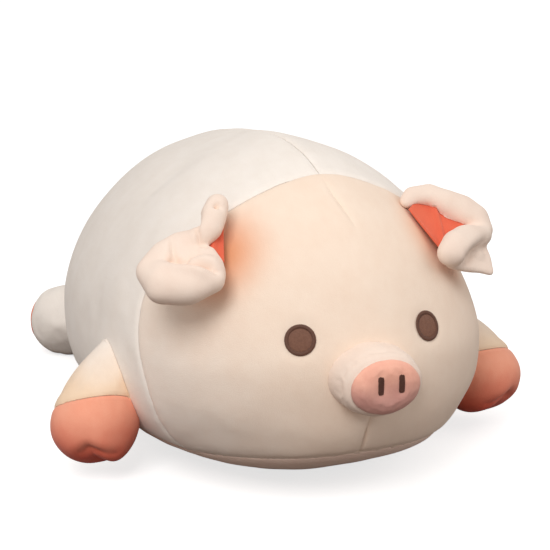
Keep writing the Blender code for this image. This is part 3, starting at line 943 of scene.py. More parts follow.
@dataclass(frozen=True)
class Body:
    """The stuffed body: a peach face, two cream back panels, a belly and the filling."""

    form: BodyForm = BodyForm()
    swelling: Swelling = Swelling(limit=0.0016, spare_cloth=0.009)
    seam_depth: float = 0.0015
    seam_width: float = 0.0055
    pucker_depth: float = 0.00045
    wave_depth: float = 0.0008
    fill: float = 0.85
    eye_middle: Point = EYE_MIDDLE
    eye_radius: float = 0.0122
    eye_depth: float = 0.0008
    rows_above: float = 0.02
    front_end: float = -0.15
    crown_start: float = 0.15
    dart: Crease = Crease(((0.0, -0.158, 0), (0.001, -0.1725, 0), (0.0042, -0.1868, 0),
                           (0.0076, -0.2004, 0)), 0.0018, 0.0046)
    chin: Crease = Crease(((0.0, 0, 0.084), (-0.0015, 0, 0.0692), (-0.0018, 0, 0.0596), (-0.0014,
                          0, 0.046)), 0.0030, 0.0042)

    def seam_distances(self, point: Vector) -> Point:
        """Distances from the face seam, the belly seam and the seam down the back; a far one is 1.

        Args:
            point: A point of the cloth.

        Returns:
            The three signed distances, metres.
        """
        face = point.y - self.form.face_seam_y(point)
        belly = point.z - self.form.belly_seam_z(point)
        back = point.x if face > 0 and belly > 0 else 1.0
        return (face if belly > 0 else 1.0), belly, back

    def held(self, point: Vector) -> float:
        """How firmly the seams hold a point."""
        nearest = min(abs(distance) for distance in self.seam_distances(point))
        return 1 - ease((nearest - 0.004) / 0.020)

    def depth_at(self, point: Vector) -> float:
        """How far seams, puckers, creases and soft waves draw a point in."""
        distances = self.seam_distances(point)
        nearest = min(abs(distance) for distance in distances)
        depth = groove(nearest, self.seam_depth, self.seam_width)
        depth += self.pucker_depth * noise.noise(point * 95) * math.exp(-nearest / 0.009)
        depth += self.wave_depth * (noise.noise(point * 19) * 0.7 + noise.noise(point * 41) * 0.3)
        if point.z > self.crown_start:
            depth += self.dart.depth_at(Vector((point.x, point.y, 0)))
        elif point.y < self.front_end:
            depth += self.chin.depth_at(Vector((point.x, 0, point.z)))
        middle = Vector((math.copysign(self.eye_middle[0], point.x), *self.eye_middle[1:]))
        past = (point - middle).length - self.eye_radius
        return depth + self.eye_depth * (1 - ease(past / 0.005))

    def build(self) -> BVHTree:
        """Build the panels and the filling.

        Returns:
            The body's outer surface, for the pieces that are sewn onto it.
        """
        form = self.form
        bm = rounded_block(47)
        reshape(bm, form.from_ball)
        relax(bm, 3)
        bm = self.swelling.settle(bm, self.held)
        relax(bm, 4)
        self.lay_flat(bm)

        filling = bm.copy()
        sink(filling, lambda point: self.depth_at(point) + FILLING_INSET)
        self.lay_flat(filling, FILLING_INSET)
        settle_in(new_piece("body_filling", filling), FILLING, "body", "body_stuffing", self.fill)

        bm = subdivided(bm)
        rows = rows_beside(0.0036, 0.0018, 0.0007)
        cut_along(bm, 2, form.belly_seam_z, rows)
        cut_along(bm, 1, form.face_seam_y, rows, lambda point: point.z > self.rows_above)
        cut_along(bm, 0, lambda point: 0.0, rows,
                  lambda point: point.y > self.front_end and point.z > self.rows_above)
        cut_along(bm, 0, lambda point: self.dart.across_at(point, 1), rows,
                  lambda point: -0.215 < point.y < -0.155 and point.z > self.crown_start
                  and abs(point.x) < 0.03)
        cut_along(bm, 0, lambda point: self.chin.across_at(point, 2), rows,
                  lambda point: 0.03 < point.z < 0.10 and point.y < self.front_end
                  and abs(point.x) < 0.03)
        sink(bm, self.depth_at)
        self.lay_flat(bm)
        surface = BVHTree.FromBMesh(bm)

        def ahead(point: Vector) -> bool:
            """Whether a point lies ahead of the face seam."""
            return point.y < form.face_seam_y(point)

        def above(point: Vector) -> bool:
            """Whether a point lies above the belly seam."""
            return point.z > form.belly_seam_z(point)

        panels = (
            ("face", FACE_PEACH, "face_panel", lambda point: ahead(point) and above(point)),
            ("right_back", CREAM, "back_panel_right",
             lambda point: not ahead(point) and above(point) and point.x < 0),
            ("left_back", CREAM, "back_panel_left",
             lambda point: not ahead(point) and above(point) and point.x > 0),
            ("belly", BELLY_CREAM_PAINTED_SHADE, "belly_panel", lambda point: not above(point)),
        )
        for name, finish, node, keep in panels:
            panel = new_piece(name + "_panel_cloth", kept_part(bm, keep))
            thicken(panel, CLOTH_THICKNESS)
            settle_in(panel, finish, "body", node, self.fill)
        bm.free()
        return surface

    def lay_flat(self, bm: BMesh, height: float = 0.0) -> None:
        """Let the belly rest on a level surface."""
        for vert in bm.verts:
            vert.co.z = max(vert.co.z, height)
        bm.normal_update()


# Embroidery

def stitched_field(width: float, height: float, strands: int, relief: float,
                   power: float = 2.0) -> BMesh:
    """A rounded field of parallel satin stitches, flat on Z = 0.

    Args:
        width: Across the stitches, metres.
        height: Along the stitches at the middle, metres.
        strands: How many stitches lie side by side.
        relief: How far a stitch stands up, metres.
        power: 2 for an oval outline, and more for a squarer one.

    Returns:
        The field as a bmesh; its Z is the height above the cloth.
    """
    bm = bmesh.new()
    bmesh.ops.create_grid(bm, x_segments=strands * 4, y_segments=16, size=1)
    for vert in bm.verts:
        across, along = vert.co.x, vert.co.y
        chord = max(0.0, 1 - abs(across) ** power) ** (1 / power)
        strand = (across + 1) / 2 * strands
        round_top = abs(math.sin(math.pi * strand))
        crown = math.sqrt(max(0.0, 1 - (across * across + (along * chord) ** 2) * 0.9))
        wander = 0.02 * noise.noise(Vector((int(strand) * 1.7, 0.0, 0.0))) if chord > 0.2 else 0.0
        vert.co = Vector((across * width / 2, (along * chord + along * wander) * height / 2,
                          relief * round_top + relief * 2.0 * crown))
    return bm


def drape(bm: BMesh, surface: BVHTree, middle: Vector, facing: Vector, lift: float) -> None:
    """Lay flat embroidery on the cloth.

    Args:
        bm: The embroidery, its Z the height above the cloth.
        surface: The cloth's outer surface.
        middle: Where its middle goes.
        facing: The direction it faces there.
        lift: Extra height above the cloth, metres.
    """
    turn = facing.to_track_quat('Z', 'Y').to_matrix()
    for vert in bm.verts:
        over = middle + turn @ Vector((vert.co.x, vert.co.y, 0)) + facing * 0.02
        hit, normal = surface.ray_cast(over, -facing)[:2]
        vert.co = hit + (normal + facing).normalized() * (vert.co.z + lift)
    face_outwards(bm)


@dataclass(frozen=True)
class Eye:
    """A satin-stitched disc with a sunken line and a border of short stitches round it."""

    side: Side
    middle: Point = EYE_MIDDLE
    diameter: float = 0.0235
    border_width: float = 0.0030
    border_height: float = 0.0011
    border_stitches: int = 84
    strands: int = 46
    relief: float = 0.00022

    def build(self, surface: BVHTree) -> None:
        """Stitch the eye onto the face.

        Args:
            surface: The body's outer surface.
        """
        middle = Vector((self.middle[0] * self.side.value, *self.middle[1:]))
        middle, facing = surface.find_nearest(middle)[:2]
        inner = self.diameter / 2 - self.border_width
        field = stitched_field(inner * 2 + 0.0004, inner * 2 + 0.0004, self.strands, self.relief)
        drape(field, surface, middle, facing, 0.0004)
        disc = new_piece("eye_disc_" + self.side.label, field)
        thicken(disc, 0.0006)
        dress(disc, BROWN)
        ring = self.border()
        drape(ring, surface, middle, facing, 0.0003)
        border = new_piece("eye_border_" + self.side.label, ring)
        settle_in(border, DARK_BROWN, "body", "eye_" + self.side.label, None)
        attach(disc, "body")

    def border(self) -> BMesh:
        """The ring of radial stitches, flat on Z = 0.

        Returns:
            The ring as a closed bmesh.
        """
        bm = bmesh.new()
        ridge = self.diameter / 2 - self.border_width / 2
        corners = []
        for step in range(10):
            angle = 2 * math.pi * step / 10
            corners.append(bm.verts.new((ridge + self.border_width / 2 * math.cos(angle), 0,
                                         self.border_height / 2 * (1 + math.sin(angle)))))
        edges = [bm.edges.new((corners[step], corners[(step + 1) % 10])) for step in range(10)]
        bmesh.ops.spin(bm, geom=corners + edges, cent=(0, 0, 0), axis=(0, 0, 1), angle=2 * math.pi,
                       steps=self.border_stitches * 4, use_merge=True)
        bmesh.ops.remove_doubles(bm, verts=bm.verts[:], dist=1e-6)
        for vert in bm.verts:
            turn = math.atan2(vert.co.y, vert.co.x)
            swell = abs(math.sin(turn * self.border_stitches / 2))
            radius = math.hypot(vert.co.x, vert.co.y)
            wide = (radius - ridge) * (0.97 + 0.06 * swell) + ridge
            vert.co = Vector((math.cos(turn) * wide, math.sin(turn) * wide,
                              vert.co.z * (0.80 + 0.24 * swell)))
        return bm


# Snout

@dataclass(frozen=True)
class Snout:
    """A short oval snout: a cream band, a pink front, two stitched nostrils and the filling."""

    front_y: float = -0.28535
    reach: float = 0.031
    root_depth: float = 0.022
    height: float = 0.113
    root_width: float = 0.073
    front_width: float = 0.062
    flatness: float = 0.76
    power: float = 3.4
    patch_depth: float = 0.0085
    seam_depth: float = 0.0016
    seam_width: float = 0.0040
    nostril_spacing: float = 0.0165
    nostril_height: float = 0.1165
    nostril_length: float = 0.0135
    nostril_width: float = 0.0046
    nostril_shift: float = 0.0015
    nostril_depth: float = 0.0016
    swelling: Swelling = Swelling(limit=0.0025, spare_cloth=0.015)
    fill: float = 0.85

    def from_ball(self, point: Vector) -> Vector:
        """Where a point of a unit ball, poles at front and root, lies on the snout."""
        spread = max(math.hypot(point.x, point.y), 1e-9)
        girth = spread ** (2 / self.power)
        share = (1 - signed_power(point.z, 2 / self.power)) / 2
        width = self.front_width + (self.root_width - self.front_width) * share
        x = width / 2 * girth * point.x / spread
        z = width / 2 * girth * self.flatness * point.y / spread
        return Vector((x, self.front_y + (self.reach + self.root_depth) * share, self.height + z))

    @property
    def seam_y(self) -> float:
        """Where the seam between the band and the front stands."""
        return self.front_y + self.patch_depth

    def held(self, point: Vector) -> float:
        """How firmly the front's seam and the root hold a point."""
        seam = 1 - ease((abs(point.y - self.seam_y) - 0.002) / 0.006)
        root = ease((point.y - self.front_y - self.reach + 0.006) / 0.012)
        return max(seam, root)

    def depth_at(self, point: Vector) -> float:
        """How far the seam, the nostrils and soft puckers draw a point in."""
        distance = abs(point.y - self.seam_y)
        depth = groove(distance, self.seam_depth, self.seam_width)
        depth += 0.0004 * noise.noise(point * 140) * math.exp(-distance / 0.006)
        depth += 0.0005 * noise.noise(point * 60)
        if point.y < self.seam_y:
            beside = abs(point.x - self.nostril_shift) - self.nostril_spacing / 2
            across = beside / (self.nostril_width * 1.1)
            along = (point.z - self.nostril_height) / (self.nostril_length * 0.72)
            depth += self.nostril_depth * math.exp(-(across ** 2 + along ** 4))
        return depth

    def build(self, surface: BVHTree) -> None:
        """Build the snout on the face.

        Args:
            surface: The body's outer surface.
        """
        bm = rounded_block(23)
        reshape(bm, self.from_ball)
        relax(bm, 2)
        bm = self.swelling.settle(bm, self.held)

        filling = bm.copy()
        sink(filling, lambda point: self.depth_at(point) + FILLING_INSET)
        rest_on(filling, surface, REST_GAP)
        settle_in(new_piece("snout_filling", filling), FILLING, "body", "snout_stuffing", self.fill)

        bm = subdivided(bm)
        cut_along(bm, 1, lambda point: self.seam_y, rows_beside(0.0030, 0.0016, 0.0007))
        sink(bm, self.depth_at)
        inside = [face for face in bm.faces
                  if all(height_over(surface, vert.co) < 0 for vert in face.verts)]
        bmesh.ops.delete(bm, geom=inside, context='FACES')
        rest_on(bm, surface, REST_GAP)
        front = kept_part(bm, lambda point: point.y < self.seam_y)
        front_surface = BVHTree.FromBMesh(front)
        for name, finish, node, part in (
            ("snout_front", SNOUT_PINK, "snout_patch", front),
            ("snout_side", EAR_CREAM, "snout_band",
             kept_part(bm, lambda point: point.y > self.seam_y)),
        ):
            piece = new_piece(name, part)
            thicken(piece, CLOTH_THICKNESS)
            settle_in(piece, finish, "body", node, self.fill)
        bm.free()
        for side in Side:
            across = side.value * self.nostril_spacing / 2 + self.nostril_shift
            middle = Vector((across, self.front_y - 0.02, self.nostril_height))
            hit, normal = front_surface.ray_cast(middle, Vector((0, 1, 0)))[:2]
            field = stitched_field(self.nostril_length, self.nostril_width, 26, 0.0002, 5.0)
            bmesh.ops.rotate(field, cent=(0, 0, 0), matrix=Matrix.Rotation(math.pi / 2, 3, 'Z'),
                             verts=field.verts[:])
            drape(field, front_surface, hit, Vector((0, -1, 0)), 0.0003)
            nostril = new_piece("nostril_stitches_" + side.label, field)
            thicken(nostril, 0.0005)
            settle_in(nostril, NOSTRIL_BROWN, "body", "nostril_" + side.label, None)


def height_over(surface: BVHTree, point: Vector) -> float:
    """How far a point stands off a surface; inside it counts as minus."""
    nearest, normal = surface.find_nearest(point)[:2]
    step = point - nearest
    return math.copysign(step.length, step.dot(normal))


def rest_on(bm: BMesh, surface: BVHTree, gap: float, slide: Optional[Vector] = None) -> None:
    """Press what lies inside a surface flat against it.

    Args:
        bm: The mesh that rests on the surface.
        surface: The surface.
        gap: The space left between them, metres.
        slide: Direction in which what lies deeper slips first, so that it stays under the piece.
    """
    for vert in bm.verts:
        nearest, normal = surface.find_nearest(vert.co)[:2]
        height = (vert.co - nearest).dot(normal)
        if height < gap:
            if slide is not None:
                nearest, normal = surface.find_nearest(vert.co - slide * min(0.0, height))[:2]
            vert.co = nearest + normal * gap
    bm.normal_update()


# Legs

@dataclass(frozen=True)
class LegPlan:
    """Where one pair of legs stands and where its cloths are sewn together."""

    name: str
    origin: Point
    direction: Point
    seam_share: float
    arch_share: float
    pivot_along: float
    bend: float
    lowest: float
    creases: tuple[Crease, ...] = ()
    cleft_shift: float = 0.0
    sleeve_finish: PlushFinish = LEG_CREAM


@dataclass(frozen=True)
class Leg:
    """One stuffed leg: a cream sleeve, a coral hoof with a toe cleft, and the filling."""

    plan: LegPlan
    side: Side
    length: float = 0.112
    hoof_diameter: float = 0.068
    cleft_depth: float = 0.0066
    cleft_width: float = 0.0080
    taper: float = 0.50
    toe_power: float = 2.3
    seam_depth: float = 0.0014
    seam_width: float = 0.0045
    seam_arch: float = -0.0018
    seam_tilt: float = 0.0120
    slip: float = 1.3
    swelling: Swelling = Swelling(limit=0.0018, spare_cloth=0.014)
    fill: float = 0.8

    @property
    def frame(self) -> Matrix:
        """The leg's own frame: origin halfway along it, +Z to the toe, +X level."""
        sign = self.side.value
        shares = self.plan.direction
        direction = Vector((sign * shares[0], shares[1], shares[2])).normalized()
        level = Vector((0, 0, 1)).cross(direction).normalized()
        frame = Matrix((level, direction.cross(level), direction)).transposed().to_4x4()
        frame.translation = Vector((sign * self.plan.origin[0], *self.plan.origin[1:]))
        return frame

    def seam_z(self, point: Vector) -> float:
        """Where the arched hoof seam stands in the leg's own frame, over the point's sides."""
        out = point.x / self.hoof_diameter * 2
        arch = self.seam_arch * (2 * out * out - 0.6) + self.seam_tilt * self.side.value * out
        return self.length / 2 * self.plan.seam_share + arch * self.plan.arch_share

    def from_ball(self, point: Vector) -> Vector:
        """Where a point of a unit ball lies on the leg, in the leg's own frame."""
        along = max(-1.0, min(1.0, point.z))
        full_along = (math.sqrt(1 + 8 * self.taper ** 2) - 1) / (4 * self.taper)
        fullest = math.sqrt(1 - full_along ** 2) * (1 + self.taper * full_along)
        spread = max(math.hypot(point.x, point.y), 1e-9)
        power = self.toe_power if along > 0 else 2
        girth = max(1 - abs(along) ** power, 0) ** (1 / power)
        girth = girth * (1 + self.taper * along) / fullest
        x = self.hoof_diameter / 2 * girth * point.x / spread
        y = self.hoof_diameter / 2 * girth * point.y / spread
        z = along * self.length / 2
        cleft = (x + self.side.value * self.plan.cleft_shift) / self.cleft_width
        dent = self.cleft_depth * max(0.0, along) ** 6 * math.exp(-cleft ** 2)
        inward = Vector((0, y, z)).normalized()
        return Vector((x, y, z)) - inward * dent

    def held(self, point: Vector) -> float:
        """How firmly the hoof's seam and the root hold a point of the leg's own frame."""
        seam = 1 - ease((abs(point.z - self.seam_z(point)) - 0.002) / 0.009)
        root = 1 - ease((point.z + self.length / 2 - 0.014) / 0.030)
        return max(seam, root)

    def depth_at(self, point: Vector) -> float:
        """How far the seam, the cleft and soft puckers draw a point of the leg's own frame in."""
        distance = abs(point.z - self.seam_z(point))
        depth = groove(distance, self.seam_depth, self.seam_width)
        seed = Vector((self.side.value * 3.1, self.plan.seam_share * 7, 0))
        depth += 0.0006 * noise.noise(point * 110 + seed) * math.exp(-distance / 0.008)
        depth += 0.0011 * noise.noise(point * 38 + seed)
        toe = ease((point.z - self.length * 0.38) / (self.length * 0.10))
        shifted = point + Vector((self.side.value * self.plan.cleft_shift, 0, 0))
        depth += groove(shifted.x, 0.0014, 0.0036) * toe
        return depth + sum(crease.depth_at(shifted) for crease in self.plan.creases)

    def build(self, surface: BVHTree) -> None:
        """Build the leg against the body.

        Args:
            surface: The body's outer surface.
        """
        label = self.plan.name + "_leg_" + self.side.label
        bm = rounded_block(23)
        reshape(bm, self.from_ball)
        relax(bm, 1)
        bm = self.swelling.settle(bm, self.held)
        relax(bm, 2)

        bend = (self.frame @ Vector((0, 0, self.plan.pivot_along)),
                self.frame @ Vector((0, 0, self.plan.pivot_along + self.plan.bend)))
        filling = bm.copy()
        sink(filling, lambda point: self.depth_at(point) + FILLING_INSET)
        self.set_down(filling, surface, REST_GAP + FILLING_INSET)
        settle_in(new_piece(label + "_filling", filling), FILLING, label, label + "_stuffing",
                  self.fill, bend)

        bm = subdivided(bm)
        cut_along(bm, 2, self.seam_z, rows_beside(0.0032, 0.0016, 0.0006))
        sink(bm, self.depth_at)
        sleeve = kept_part(bm, lambda point: point.z < self.seam_z(point))
        hoof = kept_part(bm, lambda point: point.z > self.seam_z(point))
        bm.free()
        for name, part, finish, across in (("_sleeve", sleeve, self.plan.sleeve_finish, bend),
                                           ("_hoof", hoof, HOOF_CORAL, None)):
            self.set_down(part, surface, REST_GAP)
            piece = new_piece(label + name + "_cloth", part)
            thicken(piece, CLOTH_THICKNESS)
            settle_in(piece, finish, label, label + name, self.fill, across)

    def set_down(self, bm: BMesh, surface: BVHTree, gap: float) -> None:
        """Move a mesh from the leg's own frame to its place, against the body and off the floor."""
        bmesh.ops.transform(bm, matrix=self.frame, verts=bm.verts[:])
        for vert in bm.verts:
            vert.co.z = max(vert.co.z, self.plan.lowest + gap - REST_GAP)
        bm.normal_update()
        rest_on(bm, surface, gap, self.frame.to_3x3() @ Vector((0, 0, self.slip)))


# Ears

@dataclass(frozen=True)
class Roll:
    """A stuffed roll of the ear: places in the ear's frame with the roll's radius there, metres."""

    places: tuple[Quad, ...]
    flatness: float = 0.8
    pitch: float = 0.0016
    least_height: float = 0.0010

    def add_to(self, bm: BMesh, inset: float = 0.0) -> None:
        """Add the roll as a row of closely set flattened balls.

        Args:
            bm: The mesh that the balls are added to.
            inset: How far inside the roll's surface they stay, metres; where the roll is too thin
                for that there are none.
        """
        for first, last in zip(self.places[:-1], self.places[1:]):
            run = Vector(last[:3]) - Vector(first[:3])
            count = max(1, math.ceil(run.length / self.pitch))
            for step in range(count + 1):
                share = step / count
                radius = first[3] + (last[3] - first[3]) * share
                height = self.flatness * radius - inset
                if height < self.least_height:
                    continue
                place = Matrix.Translation(Vector(first[:3]) + run * share)
                flat = Matrix.Diagonal((1, 1, height / (radius - inset), 1))
                bmesh.ops.create_icosphere(bm, subdivisions=3, radius=radius - inset,
                                           matrix=place @ flat)


@dataclass(frozen=True)
class Pad:
    """A thin crowned pad between four corners in the ear's frame, metres, with a fold across it."""

    corners: tuple[Point, ...]
    thickness: float = 0.0034
    hollow: float = 0.004
    fold_height: float = 0.0025
    fold_place: float = 0.45
    fold_slant: float = 0.0
    fold_width: float = 0.16
    segments: int = 40

    def build(self, extra: float = 0.0) -> BMesh:
        """Build the pad.

        Args:
            extra: How much thicker it is on every side, metres.

        Returns:
            The pad as a closed bmesh in the ear's own frame.
        """
        bm = bmesh.new()
        bmesh.ops.create_grid(bm, x_segments=self.segments, y_segments=self.segments, size=1)
        top = bmesh.ops.extrude_face_region(bm, geom=bm.faces[:])["geom"]
        raised = {element for element in top if isinstance(element, BMVert)}
        first, second, third, fourth = (Vector(corner) for corner in self.corners)
        for vert in bm.verts:
            across, along = (vert.co.x + 1) / 2, (vert.co.y + 1) / 2
            place = first.lerp(second, across).lerp(fourth.lerp(third, across), along)
            inner = (1 - vert.co.x ** 4) * (1 - vert.co.y ** 4)
            crest = self.fold_place + self.fold_slant * (along - 0.5)
            fold = math.exp(-((across - crest) / self.fold_width) ** 2) * self.fold_height * inner
            half = 0.0006 + (self.thickness / 2 - 0.0006) * math.sqrt(max(0.0, inner)) + extra
            place.z += fold - self.hollow * inner + (half if vert in raised else -half)
            vert.co = place
        face_outwards(bm)
        return bm


@dataclass(frozen=True)
class EarPlan:
    """How one ear is folded: its stuffed rolls, its coral lining and its creases, in its own frame.

    A bend gives two distances from the base line; with one, the ear's pieces are baked in place and
    do not move with the ear. Without one the whole ear turns.
    """

    rolls: tuple[Roll, ...]
    lining: Pad
    creases: tuple[Crease, ...] = ()
    bend: Optional[tuple[float, float]] = None


@dataclass(frozen=True)
class Ear:
    """A folded ear: cream cloth outside, coral cloth in its mouth and thin padding between."""

    side: Side
    plan: EarPlan
    base: Point = (0.24, -0.74, -0.62)
    origin: Point = (0.08509, -0.16416, 0.2042)
    voxel: float = 0.0012
    rounding: int = 8
    wave_depth: float = 0.0007
    crease_height: float = 0.008
    fill: float = 0.4

    @property
    def frame(self) -> Matrix:
        """Origin at the middle of the base line: X down the line, Y outwards, Z off the head."""
        base = Vector(self.base).normalized()
        outward = base.cross(Vector((0, 0, -1))).normalized()
        off = outward.cross(base).normalized()
        off *= math.copysign(1, off.z)
        frame = Matrix((base, off.cross(base), off)).transposed().to_4x4()
        frame.translation = Vector(self.origin)
        return Matrix.Scale(self.side.value, 4, Vector((1, 0, 0))) @ frame

    def depth_at(self, point: Vector, inset: float = 0.0) -> float:
        """How far creases, wider by an inset, and soft waves draw a point of the ear in."""
        seed = Vector((self.side.value * 2.3, 0, 0))
        depth = self.wave_depth * noise.noise(point * 70 + seed)
        outer = ease((point.z + inset - self.crease_height) / 0.008)
        flat = Vector((point.x, point.y, 0))
        creases = (replace(crease, width=crease.width + inset) for crease in self.plan.creases)
        return depth + outer * sum(crease.depth_at(flat) for crease in creases)

    def folded_form(self, inset: float = 0.0) -> BMesh:
        """Build the folded ear as one rounded closed form in its own frame.

        Args:
            inset: How far inside the ear's outside it stays, metres.

        Returns:
            The closed form.
        """
        bm = bmesh.new()
        for roll in self.plan.rolls:
            roll.add_to(bm, inset)
        bm = self.joined(bm)
        relax(bm, self.rounding)
        sink(bm, lambda point: self.depth_at(point, inset))
        relax(bm, 1)
        return bm

    def joined(self, bm: BMesh) -> BMesh:
        """Join parts that run into each other into one clean closed surface; the mesh is freed."""
        piece = new_piece("joined", bm)
        join = piece.modifiers.new("Remesh", 'REMESH')
        join.mode = 'VOXEL'
        join.voxel_size = self.voxel
        return mesh_of(piece)

    def put_on(self, bm: BMesh, surface: BVHTree, gap: float) -> None:
        """Move a mesh from the ear's own frame onto the head."""
        bmesh.ops.transform(bm, matrix=self.frame, verts=bm.verts[:])
        face_outwards(bm)
        rest_on(bm, surface, gap)

    def without_pocket(self, bm: BMesh, pocket: BMesh) -> BMesh:
        """Cut the lining's place out of a mesh; both meshes are freed.

        Args:
            bm: The mesh.
            pocket: The place that is cut out.

        Returns:
            What is left of the mesh.
        """
        piece, cutter = new_piece("uncut", bm), new_piece("pocket", pocket)
        cut = piece.modifiers.new("Pocket", 'BOOLEAN')
        cut.operation = 'DIFFERENCE'
        cut.solver = 'EXACT'
        cut.object = cutter
        result = mesh_of(piece)
        bpy.data.objects.remove(cutter, do_unlink=True)
        return result

    def build(self, surface: BVHTree) -> None:
        """Build the ear's cloths and padding on the head.

        Args:
            surface: The body's outer surface.
        """
        label = "ear_" + self.side.label
        outer = self.folded_form()
        padding = self.folded_form(FILLING_INSET)
        self.put_on(outer, surface, REST_GAP)
        self.put_on(padding, surface, REST_GAP + FILLING_INSET)
        pockets = []
        for extra in (REST_GAP, FILLING_INSET):
            pocket = self.plan.lining.build(extra)
            self.put_on(pocket, surface, 0.0)
            pockets.append(pocket)
        lining = self.plan.lining.build()
        self.put_on(lining, surface, REST_GAP)
        piece = new_piece(label + "_outer_cloth", self.without_pocket(outer, pockets[0]))
        thicken(piece, CLOTH_THICKNESS)
        self.sew_on(piece, EAR_CREAM, "_outer")
        self.sew_on(new_piece(label + "_lining_cloth", lining), LINING_CORAL_PAINTED_SHADE, "_lining")
        piece = new_piece(label + "_padding_fibre", self.without_pocket(padding, pockets[1]))
        self.sew_on(piece, FILLING, "_padding")

    def sew_on(self, piece: Object, finish: Finish, node: str) -> None:
        """Dress a piece of the ear and let it move with the ear, or bake it in place where the plan
        gives a bend.

        Args:
            piece: The finished piece.
            finish: Its finish.
            node: The end of the name of the node that it stands for.
        """
        label, bend = "ear_" + self.side.label, None
        if self.plan.bend is not None:
            near, far = self.plan.bend
            bend = (self.frame @ Vector((0, near, 0)), self.frame @ Vector((0, far, 0)))
        settle_in(piece, finish, label, label + node, self.fill, bend)


# Tail

@dataclass(frozen=True)
class Tail:
    """A short narrow tube of cream cloth that curls."""

    root: Point = (0.0, 0.26347, 0.118)
    end_y: float = 0.28665
    diameter: float = 0.0095
    curl: float = 0.019
    turns: float = 1.35
    growth: float = 0.40
    segments: int = 20
    rings: int = 96
    end_rings: int = 8
    fill: float = 0.8

    def middle(self, share: float) -> Vector:
        """A point of the line the tail follows."""
        grown = ease(share / self.growth)
        radius = self.curl / 2 * grown
        turn = 2 * math.pi * self.turns * share
        length = self.end_y - self.diameter / 2 - self.root[1]
        step = Vector((radius * math.sin(turn), length * share, radius * (1 - math.cos(turn))))
        return Vector(self.root) + step

    def build(self) -> None:
        """Build the curled tube."""
        bm = bmesh.new()
        bmesh.ops.create_uvsphere(bm, u_segments=self.segments, v_segments=self.rings, radius=1)
        radius = self.diameter / 2
        last = self.rings - 2 * self.end_rings
        across = Vector((1, 0, 0))
        rings = []
        for ring in range(self.rings + 1):
            step = max(0, min(last, ring - self.end_rings))
            share = step / last
            ahead = Vector((0, 1, 0))
            if step > 0:
                ahead = self.middle(min(1.0, share + 0.01)) - self.middle(share - 0.01)
                ahead = ahead.normalized()
            across = (across - ahead * across.dot(ahead)).normalized()
            slope = math.pi / 2 * (ring - self.end_rings - step) / self.end_rings
            pucker = 1 + 0.03 * math.sin(share * 70)
            middle = self.middle(share) + ahead * (radius * math.sin(slope))
            rings.append((middle, across, ahead.cross(across), radius * math.cos(slope) * pucker))
        for vert in bm.verts:
            turn = math.acos(max(-1.0, min(1.0, vert.co.z)))
            middle, side, up, width = rings[round(turn / math.pi * self.rings)]
            spread = max(math.hypot(vert.co.x, vert.co.y), 1e-9)
            vert.co = middle + (side * vert.co.x + up * vert.co.y) * (width / spread)
        face_outwards(bm)
        settle_in(new_piece("curled_tail", bm), EAR_CREAM, "tail", "tail", self.fill)


# Studio

@dataclass(frozen=True)
class Lamp:
    """A soft rectangular lamp."""

    name: str
    place: Point
    size: float
    power: float

    def build(self, target: Vector) -> None:
        """Hang the lamp and turn it to the target."""
        light = bpy.data.lights.new(self.name, 'AREA')
        light.shape = 'SQUARE'
        light.size = self.size
        light.energy = self.power
        lamp = bpy.data.objects.new(self.name, light)
        lamp.location = self.place
        lamp.rotation_euler = (target - lamp.location).to_track_quat('-Z', 'Y').to_euler()
        bpy.context.scene.collection.objects.link(lamp)


